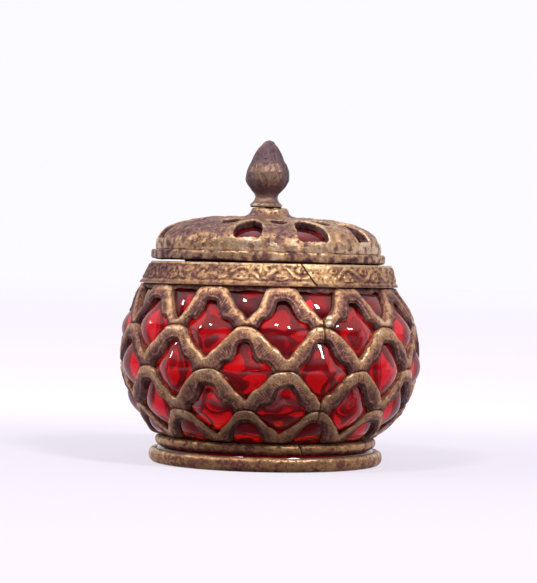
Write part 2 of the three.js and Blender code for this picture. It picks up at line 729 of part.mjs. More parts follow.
/** The bud on top of the lid, on a waisted stem, with a tang riveted over under the lid. */
function finial() {
  const z = (height) => FINIAL_Z + height;
  const headTop = TANG_HEAD_Z + TANG_HEAD_HEIGHT;
  const budToTip = FINIAL_HEIGHT - FINIAL_BUD_HEIGHT;
  const waistToBud = FINIAL_BUD_HEIGHT - FINIAL_NECK_HEIGHT;
  const profile = [
    [0, TANG_HEAD_Z],
    [TANG_HEAD_RADIUS * 0.7, TANG_HEAD_Z + TANG_HEAD_HEIGHT * 0.25],
    [TANG_HEAD_RADIUS, headTop],
    [TANG_RADIUS, headTop],
    [TANG_RADIUS, z(0)],
    [FINIAL_FLANGE_RADIUS - 0.4, z(0)],
    [FINIAL_FLANGE_RADIUS, z(0.7)],
    [THREE.MathUtils.lerp(FINIAL_NECK_RADIUS, FINIAL_FLANGE_RADIUS, 0.5), z(1.6)],
    [FINIAL_NECK_RADIUS, z(FINIAL_NECK_HEIGHT)],
    [FINIAL_NECK_RADIUS + 1.1, z(FINIAL_NECK_HEIGHT + waistToBud * 0.3)],
    [FINIAL_BUD_RADIUS - 0.7, z(FINIAL_BUD_HEIGHT - waistToBud * 0.4)],
  ];
  const steps = 6;
  for (let i = 0; i < steps; i++) {
    const up = i / steps;
    profile.push([FINIAL_BUD_RADIUS * (1 - up ** 2.2) ** 0.85, z(FINIAL_BUD_HEIGHT + budToTip * up)]);
  }
  profile.push([0, z(FINIAL_HEIGHT)]);
  return turned(profile, SMALL_FACETS);
}

/** The washer between the riveted end of the tang and the glass. */
function finialWasher() {
  const hole = TANG_HOLE_RADIUS;
  const top = WASHER_Z + WASHER_THICKNESS;
  return turnedRing(
    [
      [hole, WASHER_Z],
      [WASHER_RADIUS, WASHER_Z],
      [WASHER_RADIUS, top],
      [hole, top],
    ],
    SMALL_FACETS,
  );
}

// Materials

const bronze = new THREE.MeshStandardMaterial({ color: 0x8a6a45, roughness: 0.5, metalness: 0.8 });
const darkBronze = new THREE.MeshStandardMaterial({ color: 0x5d4438, roughness: 0.6, metalness: 0.7 });
const brass = new THREE.MeshStandardMaterial({ color: 0xb89a5e, roughness: 0.4, metalness: 0.9 });
const rubyGlass = new THREE.MeshStandardMaterial({
  color: 0xb00c14,
  roughness: 0.06,
  metalness: 0,
  transparent: true,
  opacity: 0.6,
});

// Assembly

function piece(name, geometry, material) {
  const mesh = new THREE.Mesh(geometry, material);
  mesh.name = name;
  return mesh;
}

const pot = new THREE.Group();
pot.add(
  piece("base_ring", baseRing(), bronze),
  piece("glass_jar", glassJar(), rubyGlass),
  piece("foot_band", footBand(), bronze),
);
for (let row = 0; row < CAGE_ROWS; row++) {
  pot.add(piece(`cage_row_${row + 1}`, cageRow(row), bronze));
}
pot.add(
  piece("seam_braze", seamBraze(), brass),
  piece("neck_collar", neckCollar(), bronze),
);

const lid = new THREE.Group();
lid.add(
  piece("lid_rim", lidRim(), bronze),
  piece("lid_spigot", lidSpigot(), darkBronze),
  piece("lid_dome", lidDome(), bronze),
  piece("lid_glass", lidGlass(), rubyGlass),
  piece("finial", finial(), bronze),
  piece("finial_washer", finialWasher(), brass),
);
pot.add(lid);

export default pot;
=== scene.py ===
"""A lidded pot: red glass blown into a cast brass cage, under a domed openwork lid.

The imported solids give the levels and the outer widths. Each sub-assembly here is a class that holds
the sizes of its own fine form in millimetres and builds closed meshes on those solids.
"""

import json
import logging
import math
from collections.abc import Mapping, Sequence
from dataclasses import dataclass
from enum import Enum
from functools import cached_property

import bpy
import numpy as np
from mathutils import Matrix, Vector
from mathutils.kdtree import KDTree


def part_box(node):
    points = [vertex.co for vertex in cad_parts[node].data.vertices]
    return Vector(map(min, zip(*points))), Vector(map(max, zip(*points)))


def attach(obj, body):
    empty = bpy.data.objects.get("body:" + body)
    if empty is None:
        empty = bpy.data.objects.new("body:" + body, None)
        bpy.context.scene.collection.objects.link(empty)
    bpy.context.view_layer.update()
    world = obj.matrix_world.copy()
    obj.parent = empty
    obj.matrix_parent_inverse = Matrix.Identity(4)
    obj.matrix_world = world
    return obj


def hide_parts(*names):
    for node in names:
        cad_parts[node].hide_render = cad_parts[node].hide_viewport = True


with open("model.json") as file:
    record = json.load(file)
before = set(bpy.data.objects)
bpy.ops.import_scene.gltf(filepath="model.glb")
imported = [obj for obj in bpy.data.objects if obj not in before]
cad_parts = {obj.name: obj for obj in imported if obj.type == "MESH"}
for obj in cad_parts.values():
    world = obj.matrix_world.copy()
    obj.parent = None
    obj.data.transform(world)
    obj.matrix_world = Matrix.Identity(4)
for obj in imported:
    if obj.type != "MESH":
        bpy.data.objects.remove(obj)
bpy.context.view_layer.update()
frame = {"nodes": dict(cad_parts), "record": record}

log = logging.getLogger("pot")

Array = np.ndarray
Colour = tuple[float, float, float]
Outline = Sequence[tuple[float, float]]
Piece = bpy.types.Object
Finish = bpy.types.Material

MM = 0.001
TURN = 2 * math.pi
LID_PLAY = 0.4
LID_SLANT = 0.45
BELLY_SHIFT = 0.85


# Small helpers for forms


def span(node: str) -> tuple[float, float]:
    """The lowest and highest level of a solid, in millimetres."""
    low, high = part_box(node)
    return low[2] / MM, high[2] / MM


def reach(node: str) -> float:
    """How far a solid reaches from the axis, in millimetres."""
    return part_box(node)[1][0] / MM


def ease(x: Array, start: float, end: float) -> Array:
    """A smooth rise from 0 at the start to 1 at the end, which may be the smaller of the two."""
    t = np.clip((x - start) / (end - start), 0, 1)
    return t * t * (3 - 2 * t)


def ridge(x: Array, middle: float, width: float) -> Array:
    """A bell-shaped ridge of height 1 round a value, in an array of distances."""
    return np.exp(-(((x - middle) / width) ** 2))


def polar(radius: Array | float, azimuth: Array | float, z: Array | float) -> Array:
    """Points at a radius, an azimuth from -Y towards +X, and a level, along a new last axis."""
    radius, azimuth, z = np.broadcast_arrays(radius, azimuth, z)
    return np.stack((radius * np.sin(azimuth), -radius * np.cos(azimuth), z), axis=-1)


def bend(start: Sequence[float], pull: Sequence[float], end: Sequence[float], count: int) -> Array:
    """Points along a curve between two points that a third one pulls towards it."""
    t = np.linspace(0, 1, count)[:, None]
    return (1 - t) ** 2 * start + 2 * t * (1 - t) * pull + t**2 * end


@dataclass(frozen=True)
class Curve:
    """A smooth curve y(x) through knots of rising x, which never overshoots them."""

    knots: tuple[tuple[float, float], ...]

    def __call__(self, x: Array) -> Array:
        """The curve's value at each x, held level beyond its ends."""
        xs, ys = np.array(self.knots, dtype=float).T
        slope = np.diff(ys) / np.diff(xs)
        before = np.concatenate((slope[:1], slope))
        after = np.concatenate((slope, slope[-1:]))
        both = np.where(before + after == 0, 1, before + after)
        tangent = np.where(before * after > 0, 2 * before * after / both, 0)
        i = np.clip(np.searchsorted(xs, x) - 1, 0, len(xs) - 2)
        width = xs[i + 1] - xs[i]
        t = np.clip((x - xs[i]) / width, 0, 1)
        keep = 1 - t
        return (
            keep * keep * (1 + 2 * t) * ys[i]
            + t * t * (3 - 2 * t) * ys[i + 1]
            + width * t * keep * (keep * tangent[i] - t * tangent[i + 1])
        )


class Lumps:
    """A smooth random field in space, such as the unevenness of a hand-made casting."""

    def __init__(self, seed: int, size: float, waves: int = 30) -> None:
        """Draws the waves.

        Args:
            seed: Fixes the random draw.
            size: Rough width of a lump, in millimetres.
            waves: Number of plane waves that are summed.
        """
        rng = np.random.default_rng(seed)
        direction = rng.normal(size=(waves, 3))
        direction /= np.linalg.norm(direction, axis=1, keepdims=True)
        self.wave = direction * math.pi / (size * rng.uniform(0.7, 1.8, (waves, 1)))
        self.phase = rng.uniform(0, TURN, waves)

    def __call__(self, points: Array) -> Array:
        """The field at points in millimetres, mostly from -1 to 1."""
        total = sum(np.sin(points @ w + p) for w, p in zip(self.wave, self.phase))
        return total / math.sqrt(len(self.phase))


class Sway:
    """A smooth random wander round the axis, such as the drift of a strip bent by hand."""

    def __init__(self, seed: int, slowest: int = 5, fastest: int = 30) -> None:
        """Draws the waves.

        Args:
            seed: Fixes the random draw.
            slowest: Fewest waves in a turn.
            fastest: Most waves in a turn.
        """
        rng = np.random.default_rng(seed)
        self.counts = rng.integers(slowest, fastest + 1, 10)
        self.phase = rng.uniform(0, TURN, 10)

    def __call__(self, azimuth: Array) -> Array:
        """The wander at each azimuth, mostly from -1 to 1."""
        total = sum(np.sin(n * azimuth + p) for n, p in zip(self.counts, self.phase))
        return total / math.sqrt(10)


def rounded(outline: Outline, radius: float, step: float) -> Array:
    """Rounds the corners of a closed outline, and spaces its points evenly enough to shade well.

    Args:
        outline: Corners as (radius, level), in order.
        radius: Length cut from both sides of each corner, where the sides are long enough.
        step: Greatest distance between points.

    Returns:
        The points of the rounded outline.
    """
    corners = np.array(outline, dtype=float)
    points: list[Array] = []

    def straight(end: Array) -> None:
        """Adds the points that belong between the last one and the next."""
        last = points[-1]
        gap = end - last
        pieces = max(1, math.ceil(np.linalg.norm(gap) / step))
        points.extend(last + gap * n / pieces for n in range(1, pieces))

    for corner, before, after in zip(corners, np.roll(corners, 1, 0), np.roll(corners, -1, 0)):
        back, on = before - corner, after - corner
        cut = min(radius, 0.45 * np.linalg.norm(back), 0.45 * np.linalg.norm(on))
        start = corner + back / np.linalg.norm(back) * cut
        if points:
            straight(start)
        points.extend(bend(start, corner, corner + on / np.linalg.norm(on) * cut, 5))
    straight(points[0])
    return np.array(points)


# Meshes


class Ends(Enum):
    """What closes a skin along its first direction."""

    JOINED = "joined"
    CAPPED = "capped"


def skin(name: str, points: Array, ends: Ends, **values: Array) -> Piece:
    """Makes a closed mesh from a grid of points whose second direction runs round.

    Args:
        name: Name of the new object.
        points: Array of rows, columns and 3 coordinates, in millimetres.
        ends: Whether the first and last rows are joined, or each closed by a flat cap.
        **values: Numbers for each point, stored as attributes of the mesh.

    Returns:
        The new object, shaded smooth, with its faces pointing out.
    """
    rows, columns = points.shape[:2]
    number = np.arange(rows * columns).reshape(rows, columns)
    upper = np.roll(number, -1, axis=0)
    if ends is Ends.CAPPED:
        number, upper = number[:-1], upper[:-1]
    quads = np.stack(
        (number, np.roll(number, -1, axis=1), np.roll(upper, -1, axis=1), upper), axis=-1
    )
    faces = quads.reshape(-1, 4).tolist()
    if ends is Ends.CAPPED:
        faces.append(list(range(columns))[::-1])
        faces.append(list(range((rows - 1) * columns, rows * columns)))
    mesh = bpy.data.meshes.new(name)
    mesh.from_pydata((points.reshape(-1, 3) * MM).tolist(), [], faces)
    for attribute, numbers in values.items():
        store(mesh, attribute, numbers)
    return finished(name, mesh)


def finished(name: str, mesh: bpy.types.Mesh) -> Piece:
    """Turns a closed mesh's faces outwards, shades it smooth and puts it in the scene."""
    mesh.update()
    mesh.calc_loop_triangles()
    corners = np.empty(3 * len(mesh.loop_triangles), dtype=np.int32)
    mesh.loop_triangles.foreach_get("vertices", corners)
    a, b, c = places(mesh)[corners].reshape(-1, 3, 3).transpose(1, 0, 2)
    if np.einsum("ij,ij->", a, np.cross(b, c)) < 0:
        mesh.flip_normals()
    mesh.shade_smooth()
    made = bpy.data.objects.new(name, mesh)
    bpy.context.scene.collection.objects.link(made)
    return made


def places(mesh: bpy.types.Mesh, what: str = "co") -> Array:
    """The places of a mesh's points in metres, or with "normal" their outward directions."""
    flat = np.empty(3 * len(mesh.vertices))
    mesh.vertices.foreach_get(what, flat)
    return flat.reshape(-1, 3)


def move(mesh: bpy.types.Mesh, place: Array) -> None:
    """Moves a mesh's points to new places, in metres."""
    mesh.vertices.foreach_set("co", place.ravel())
    mesh.update()


def store(mesh: bpy.types.Mesh, attribute: str, numbers: Array) -> None:
    """Stores a number for each point of a mesh, which a material reads by its name."""
    made = mesh.attributes.new(attribute, "FLOAT", "POINT")
    made.data.foreach_set("value", np.ascontiguousarray(numbers, dtype=np.float32).ravel())


def displace(piece: Piece, height: Array) -> None:
    """Moves each point of an object outwards by a height in millimetres."""
    mesh = piece.data
    move(mesh, places(mesh) + places(mesh, "normal") * height[:, None] * MM)


def relief(mesh: bpy.types.Mesh, passes: int) -> Array:
    """How far each point stands out from what is round it, in millimetres.

    Args:
        mesh: The mesh.
        passes: Rounds of smoothing that it is compared with; more take in a wider area.

    Returns:
        Heights above the smoothed surface, negative in hollows.
    """
    ends = np.empty(2 * len(mesh.edges), dtype=np.int32)
    mesh.edges.foreach_get("vertices", ends)
    one, other = ends.reshape(-1, 2).T
    count = len(mesh.vertices)
    links = np.bincount(one, minlength=count) + np.bincount(other, minlength=count)
    place = places(mesh)
    smooth = place.copy()
    for _ in range(passes):
        total = np.stack(
            [
                np.bincount(one, smooth[other, axis], count)
                + np.bincount(other, smooth[one, axis], count)
                for axis in range(3)
            ],
            axis=1,
        )
        smooth = 0.4 * smooth + 0.6 * total / np.maximum(links, 1)[:, None]
    return ((place - smooth) * places(mesh, "normal")).sum(axis=1) / MM


def wear(piece: Piece, passes: int, depth: float, favour: Array | float = 0.0) -> None:
    """Stores how far handling has polished each point of a casting, with any painted light and shade that
    a caller adds, as "worn".

    Args:
        piece: The object.
        passes: Width of the forms that count, as for relief.
        depth: Height that counts as fully proud, in millimetres.
        favour: Added to the result, such as for a part that is touched more; some callers add painted
            light and shade through it too.
    """
    proud = 0.5 + 0.5 * relief(piece.data, passes) / depth + favour
    store(piece.data, "worn", np.clip(proud, 0, 1))


def nearest(points: Array, line: Array) -> tuple[Array, Array]:
    """The nearest point of a line to each point.

    Args:
        points: The points.
        line: Points close together along the line.

    Returns:
        The distance to the nearest point of the line, and its number.
    """
    tree = KDTree(len(line))
    for number, point in enumerate(line.tolist()):
        tree.insert(point, number)
    tree.balance()
    found = [tree.find(point)[1:] for point in points.tolist()]
    number, distance = np.array(found).T
    return distance, number.astype(int)


def evaluated(piece: Piece, name: str) -> Piece:
    """Applies an object's modifiers and replaces it with the result.

    Args:
        piece: The object with modifiers.
        name: Name of the result.

    Returns:
        A new object without modifiers.
    """
    ready = piece.evaluated_get(bpy.context.evaluated_depsgraph_get())
    mesh = bpy.data.meshes.new_from_object(ready)
    bpy.data.objects.remove(piece)
    mesh.name = name
    return finished(name, mesh)


def spun(outline: Array | Outline, azimuth: Array) -> Array:
    """Rings of points from an outline of radii and levels, at each azimuth."""
    pairs = np.array(outline)
    return polar(pairs[:, :1], azimuth, pairs[:, 1:])


def turned(name: str, outline: Array, columns: int) -> Piece:
    """Turns a closed outline of radii and levels round the axis into a new object."""
    return skin(name, spun(outline, np.linspace(0, TURN, columns, endpoint=False)), Ends.JOINED)


def lopsided(piece: Piece) -> Piece:
    """Shifts a piece of the barrel as the hand-made cage bellies out more on one side.

    Args:
        piece: The piece, which is changed.

    Returns:
        The same piece.
    """
    mesh = piece.data
    place = places(mesh)
    low, high = span("cage_row_4")[0] * MM, span("cage_row_1")[1] * MM
    share = ease(place[:, 2], low - 0.003, low + 0.009) * ease(place[:, 2], high + 0.001, high - 0.009)
    place[:, 0] += BELLY_SHIFT * MM * share
    move(mesh, place)
    return piece


def fit(piece: Piece, node: str, finish: Finish, instead: bool = True) -> None:
    """Gives a finished piece its material and its place in the frame.

    Args:
        piece: The fine piece.
        node: The solid that it belongs to.
        finish: Its material.
        instead: Whether it stands for the solid, or is a detail beside what does.
    """
    record = frame["record"]
    bodies = record["behaviour"]["bodies"]
    piece.data.materials.clear()
    piece.data.materials.append(finish)
    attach(piece, next(body for body, nodes in bodies.items() if node in nodes))
    if instead:
        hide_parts(node)
    part = "for" if instead else "beside"
    log.info("%s: %d faces, %s %s", piece.name, len(piece.data.polygons), part, node)


def coat(node: str, finish: Finish) -> None:
    """Gives a solid that stays in view its material."""
    mesh = frame["nodes"][node].data
    mesh.materials.clear()
    mesh.materials.append(finish)
    log.info("%s: kept, with a new finish", node)


# Shaders


class Value:
    """A socket of a shader that takes part in Python expressions."""

    def __init__(self, shader: "Shader", socket: bpy.types.NodeSocket) -> None:
        """Wraps an output socket of a shader's node."""
        self.shader = shader
        self.socket = socket

    def _math(self, operation: str, *operands: "float | Value") -> "Value":
        """Adds a Math node on the operands, in order."""
        inputs = dict(enumerate(operands))
        return self.shader.node("ShaderNodeMath", {"operation": operation}, inputs)

    def __add__(self, other: "float | Value") -> "Value":
        """self + other."""
        return self._math("ADD", self, other)

    __radd__ = __add__

    def __sub__(self, other: "float | Value") -> "Value":
        """self - other."""
        return self._math("SUBTRACT", self, other)

    def __rsub__(self, other: float) -> "Value":
        """other - self."""
        return self._math("SUBTRACT", other, self)

    def __mul__(self, other: "float | Value") -> "Value":
        """self * other."""
        return self._math("MULTIPLY", self, other)

    __rmul__ = __mul__

    def sine(self) -> "Value":
        """The sine of an angle in radians."""
        return self._math("SINE", self)

    def rise(self, start: float, end: float) -> "Value":
        """A smooth rise from 0 at the start to 1 at the end."""
        settings = {"interpolation_type": "SMOOTHSTEP"}
        return self.shader.node("ShaderNodeMapRange", settings, {0: self, 1: start, 2: end})


class Shader:
    """The nodes of a material or of the world, under construction."""

    def __init__(self, owner: Finish | bpy.types.World) -> None:
        """Empties the owner's node tree."""
        owner.use_nodes = True
        self.owner = owner
        self.tree = owner.node_tree
        self.tree.nodes.clear()

    @classmethod
    def named(cls, name: str) -> "Shader":
        """A shader for a new material of that name."""
        return cls(bpy.data.materials.new(name))

    def seen(self) -> Value:
        """1 for what is seen directly, in a reflection or through glass, and 0 for light."""
        return (self.ray("Camera") + self.ray("Glossy") + self.ray("Transmission")).rise(0.0, 1.0)

    def ray(self, kind: str) -> Value:
        """1 where the ray is of one of Blender's kinds, and else 0."""
        return self.node("ShaderNodeLightPath", output=f"Is {kind} Ray")

    def axes(self, vector: Value) -> list[Value]:
        """The three numbers of a vector."""
        return [self.node("ShaderNodeSeparateXYZ", None, {0: vector}, axis) for axis in range(3)]

    def either(self, amount: Value, first: Value, second: Value) -> Value:
        """Mixes two shaders, by the share of the second."""
        return self.node("ShaderNodeMixShader", None, {0: amount, 1: first, 2: second})

    def node(
        self,
        kind: str,
        settings: Mapping[str, object] | None = None,
        inputs: Mapping[str | int, object] | None = None,
        output: str | int = 0,
    ) -> Value:
        """Adds a node.

        Args:
            kind: Blender's name for the node's type.
            settings: Properties of the node, which are set first.
            inputs: Values, or links to other nodes, by socket name or number.
            output: Name or number of the socket that is returned.

        Returns:
            The chosen output.
        """
        made = self.tree.nodes.new(kind)
        for key, value in (settings or {}).items():
            setattr(made, key, value)
        for key, value in (inputs or {}).items():
            if isinstance(value, Value):
                self.tree.links.new(value.socket, made.inputs[key])
            else:
                made.inputs[key].default_value = value
        return Value(self, made.outputs[output] if made.outputs else None)

    def place(self) -> Value:
        """The point of the surface, in metres, in the object's own frame."""
        return self.node("ShaderNodeTexCoord", output="Object")

    def attribute(self, name: str) -> Value:
        """A number stored on the mesh."""
        return self.node("ShaderNodeAttribute", {"attribute_name": name}, output="Fac")

    def noise(self, size: float, detail: float = 3.0, rough: float = 0.55) -> Value:
        """Random patches of a rough width in millimetres, mostly from 0.3 to 0.7."""
        inputs = {"Vector": self.place(), "Scale": 0.5 / (size * MM), "Detail": detail, "Roughness": rough}
        return self.node("ShaderNodeTexNoise", None, inputs)

    def blend(self, amount: Value, first: Colour | Value, second: Colour | Value) -> Value:
        """Mixes two colours, by the share of the second."""
        one, other = ((*c, 1.0) if isinstance(c, tuple) else c for c in (first, second))
        return self.node("ShaderNodeMix", {"data_type": "RGBA"}, {0: amount, 6: one, 7: other}, 2)

    def bump(self, height: Value, depth: float) -> Value:
        """The normal of a surface with a relief that is 1 at its top and this deep, in millimetres."""
        return self.node("ShaderNodeBump", None, {"Height": height, "Distance": depth * MM})

    def principled(self, inputs: Mapping[str | int, object]) -> Finish:
        """Closes the material with a Principled shader.

        Args:
            inputs: Values or links by socket name.

        Returns:
            The finished material.
        """
        surface = self.node("ShaderNodeBsdfPrincipled", None, inputs)
        self.node("ShaderNodeOutputMaterial", None, {"Surface": surface})
        return self.owner


@dataclass(frozen=True)
class CastBrass:
    """Old cast brass: a purple-brown patina, worn to gold where it stands proud, and pitted; on some parts
    the stored wear also carries painted light and shade.
    """

    name: str = "cast_brass"
    dark: Colour = (0.066, 0.022, 0.023)
    middle: Colour = (0.200, 0.084, 0.068)
    gold: Colour = (0.51, 0.302, 0.138)
    bright: Colour = (0.72, 0.56, 0.42)
    worn_from: float = 0.30
    worn_to: float = 0.78
    grain: float = 0.18
    pitting: float = 0.6
    blotches: float = 1.0
    mottling: float = 1.7
    speckle: float = 0.6
    glint: float = 0.5
    specular: float = 0.3
    hatch_pitch: float = 0.0

    def material(self) -> Finish:
        """Builds the material.

        Returns:
            The finished material.
        """
        shader = Shader.named(self.name)
        # The stored wear, which on some parts also carries painted light and shade.
        worn = shader.attribute("worn")
        patches = shader.noise(8.0, 3.0, 0.6)
        mottle = shader.noise(1.5, 5.0, 0.72)
        grit = shader.noise(0.3, 3.0, 0.6)
        specks = shader.noise(0.55, 3.0, 0.65)
        exposure = worn * 0.95 + (patches - 0.5) * self.blotches
        exposure = exposure + (mottle - 0.5) * self.mottling
        exposure = exposure + (specks - 0.5) * self.speckle + 0.04
        height = grit * 0.45 + mottle + specks * 0.5
        if self.hatch_pitch:
            along = shader.attribute("along")
            wander = (patches - 0.5) * 12 + (mottle - 0.5) * 5
            ticks = (along * (TURN / self.hatch_pitch) + wander).sine()
            strength = shader.attribute("hatch") * mottle.rise(0.36, 0.56)
            cuts = ticks.rise(-0.2, 0.8) * strength
            exposure = exposure - cuts * 0.27 - shader.attribute("hatch") * 0.25
            height = height - cuts * 0.9
        polish = exposure.rise(self.worn_from, self.worn_to)
        pits = specks.rise(0.46, 0.38) * mottle.rise(0.66, 0.44) * self.pitting
        glints = specks.rise(0.55, 0.62) * exposure.rise(0.1, 0.5)
        tan = shader.blend(exposure.rise(-0.15, 0.38), self.dark, self.middle)
        colour = shader.blend(polish, tan, self.gold)
        colour = shader.blend(glints * self.glint, colour, self.gold)
        colour = shader.blend((exposure + grit * 0.4).rise(0.95, 1.35) * 0.7, colour, self.bright)
        colour = shader.blend(pits * 0.8, colour, self.dark)
        return shader.principled(
            {
                "Base Color": colour,
                "Metallic": 0.36 + polish * 0.38,
                "Specular IOR Level": self.specular,
                "Roughness": 0.58 - polish * 0.20 + (mottle - 0.5) * 0.25,
                "Normal": shader.bump(height - pits * 1.2, self.grain),
            }
        )


@dataclass(frozen=True)
class RubyGlass:
    """Thick blown glass of a deep clear red, a little uneven, with painted shade where it meets the metal.
    """

    name: str = "ruby_glass"
    tint: Colour = (0.95, 0.022, 0.04)
    # Painted shade: the dark red that the glass is given where it meets the metal.
    edge: Colour = (0.22, 0.0, 0.004)
    roughness: float = 0.02
    index: float = 1.53
    clarity: float = 0.84
    shaded_edges: bool = True

    def material(self) -> Finish:
        """Builds the material.

        Returns:
            The finished material.
        """
        shader = Shader.named(self.name)
        streaks = shader.noise(9.0, 1.0, 0.4)
        deep = tuple(0.75 * c for c in self.tint)
        colour = shader.blend(streaks.rise(0.35, 0.7), self.tint, deep)
        # Painted shade at the edges of the swellings, where the stored clear share is low.
        if self.shaded_edges:
            colour = shader.blend(shader.attribute("clear"), self.edge, colour)
        return shader.principled(
            {
                "Base Color": colour,
                "Roughness": self.roughness,
                "IOR": self.index,
                "Transmission Weight": self.clarity,
                "Normal": shader.bump(streaks + shader.noise(2.6, 1.0, 0.4) * 0.25, 0.12),
            }
        )


# Sub-assemblies


@dataclass(frozen=True)
class Barrel:
    """The barrel that the cage is cast to, as lengths down its outside and levels."""

    foot_z: float
    top_z: float
    foot_radius: float = 38.0
    belly_radius: float = 50.7
    shoulder_radius: float = 43.1
    belly_rise: float = 27.2

    def radius(self, z: Array | float) -> Array:
        """The outer radius at each level, which bellies out as two quarters of ellipses.

        Args:
            z: Levels, in millimetres.

        Returns:
            Radii, in millimetres.
        """
        low = self.belly_rise / math.sqrt(1 - (self.foot_radius / self.belly_radius) ** 2)
        rest = self.top_z - self.foot_z - self.belly_rise
        high = rest / math.sqrt(1 - (self.shoulder_radius / self.belly_radius) ** 2)
        rise = z - self.foot_z - self.belly_rise
        share = rise / np.where(rise < 0, low, high)
        return self.belly_radius * np.sqrt(np.maximum(0, 1 - share**2))

    @cached_property
    def track(self) -> tuple[Array, Array]:
        """Lengths down the outside from the top, and the level at each."""
        z = np.linspace(self.top_z, self.foot_z, 1200)
        steps = np.hypot(np.diff(z), np.diff(self.radius(z)))
        return np.concatenate(([0], np.cumsum(steps))), z

    @property
    def length(self) -> float:
        """The whole length down the outside."""
        return float(self.track[0][-1])

    def level(self, length: Array) -> Array:
        """The level at each length down the outside."""
        return np.interp(length, *self.track)


@dataclass(frozen=True)
class Cage:
    """Four wavy strips of cast brass, each hung from the crests of the one below."""

    barrel: Barrel
    rows: int = 4
    columns: int = 12
    thickness: float = 2.8
    seam_azimuth: float = math.radians(20.7)
    seam_width: float = 0.85
    crest_depth: float = 5.2
    trough_depth: float = 4.1
    top_trough: float = 1.7
    crossing: float = 8.16
    cusps: tuple[float, ...] = (0.9, 0.6, 0.4, 0.05)
    cusp_seed: int = 1150
    closing: float = 0.15
    edge_round: float = 1.15
    embedded: float = 1.0
    ledge: float = 1.1
    ledge_drop: float = 0.5
    hatch_pitch: float = 0.85
    # Painted light: how much the crests of each row are lightened, most for the lower rows, in place of
    # the light that the white table throws up onto them.
    lightening: tuple[float, ...] = (0.0, 0.24, 0.34, 0.26)
    # Painted shade: how much the strips are darkened towards the pot's left and right sides.
    painted_side_shade: float = 0.22
    samples: int = 76
    unevenness: float = 0.36
    drift: float = 0.5
    hoop_height: float = 1.5

    @property
    def pitch(self) -> float:
        """Length down the barrel from one row to the next."""
        return self.barrel.length / self.rows

    @property
    def half(self) -> float:
        """Length round the belly from a crest to the next trough."""
        return self.barrel.belly_radius * math.pi / self.columns

    def upper(self, row: int) -> Curve:
        """Drop of a strip's upper edge by distance from its crest; those of row 0 meet the hoop.

        Args:
            row: Number of the row, 0 at the top.

        Returns:
            The curve.
        """
        tied = ((5.0, 0.05), (6.0, 0.8), (6.6, 2.2), (7.6, 4.3), (9.4, 7.6))
        free = ((1.4, 0.08), (2.6, 0.34), (3.8, 0.95), (5.4, 2.1), (6.6, 3.5), (9.3, 6.2))
        end = self.pitch - self.trough_depth + (0 if row else self.top_trough)
        trough = (self.half - 1.5, end - 1.2), (self.half - 0.45, end - 0.12), (self.half, end)
        return Curve(((0, 0), *(free if row else tied), *trough))

    @cached_property
    def lower(self) -> tuple[Curve, Curve, Curve]:
        """Drop of a strip's lower edge: cusped, plain, and wide as where it stands on the foot band."""
        end = self.pitch + self.closing
        side = self.half - self.crossing / 2
        saddle = ((side, 0.25), (side + 0.7, 0.6), (self.half - 1.5, 0.1), (self.half, 0))
        cusped = ((0, 0.1), (1.4, 0.25), (2.4, 1.0), (3.0, 3.0), (3.7, 5.0), (5.2, 6.7))
        plain = ((0, 0), (1.9, 0.4), (3.4, 1.9), (4.6, 4.2), (6.4, 6.7))
        wide = ((0, -0.5), (2.0, -0.25), (3.8, 0.75), (5.2, 2.4), (6.3, 4.5), (7.1, 6.7), (7.9, 8.1))

        def edge(arch: Outline, rest: Outline) -> Curve:
            """A curve from an arch below the crest's depth, and the rest from the trough's level."""
            knots = [(x, self.crest_depth + drop) for x, drop in arch]
            return Curve((*knots, *((x, end + drop) for x, drop in rest)))

        return (
            edge(cusped, ((7.2, -2.1), (8.4, -1.0), *saddle)),
            edge(plain, ((8.1, -1.4), *saddle)),
            edge(wide, saddle[-1:]),
        )

    def from_crest(self, azimuth: Array, row: int) -> Array:
        """Distance round the belly from the nearest crest of a row.

        Args:
            azimuth: Azimuths.
            row: Number of the row, 0 at the top.

        Returns:
            Distances from 0 to half a column.
        """
        wander = Sway(40 + row, 4, 17)(azimuth) * self.drift / self.barrel.belly_radius
        steps = (azimuth + wander - self.seam_azimuth) / (math.pi / self.columns)
        return np.abs((steps + row % 2) % 2 - 1) * self.half

    def crossing_line(self, azimuth: Array, line: int) -> Array:
        """How far the line between two rows wanders; its first and last are straight."""
        if line in (0, self.rows):
            return np.zeros_like(azimuth)
        return Sway(60 + line)(azimuth) * self.unevenness

    def edges(self, azimuth: Array, row: int) -> tuple[Array, Array]:
        """The two edges of a strip, as lengths down the barrel.

        Args:
            azimuth: Azimuths.
            row: Number of the row, 0 at the top.

        Returns:
            The upper and the lower edge.
        """
        x = self.from_crest(azimuth, row)
        crest = self.crossing_line(azimuth, row)
        trough = self.crossing_line(azimuth, row + 1)
        low = ease(x, 0.35 * self.half, 0.75 * self.half)
        line = row * self.pitch + (1 - low) * crest + low * trough
        inner = 4 * (x / self.half) * (1 - x / self.half) + ease(x, 3.5, 0)
        rough = (Sway(80 + row)(azimuth) + 0.5 * Sway(85 + row, 50, 110)(azimuth)) * low
        top = line + self.upper(row)(x) + rough * self.unevenness
        rough = (Sway(90 + row)(azimuth) + 0.2 * Sway(95 + row, 50, 110)(azimuth)) * inner
        cusped, plain, wide = (curve(x) for curve in self.lower)
        cusps = np.clip(self.cusps[row] + 0.6 * Sway(self.cusp_seed + row, 3, 9)(azimuth), 0, 1)
        drop = cusps * cusped + (1 - cusps) * plain if row < self.rows - 1 else wide
        bottom = line + drop + rough * self.unevenness
        return top, np.minimum(bottom, self.barrel.length - 0.05)

    def place(self, azimuth: Array, length: Array, outwards: Array) -> Array:
        """Points at lengths down the barrel and heights over the cage's inner face."""
        z = self.barrel.level(length)
        return polar(self.barrel.radius(z) - self.thickness + outwards, azimuth, z)

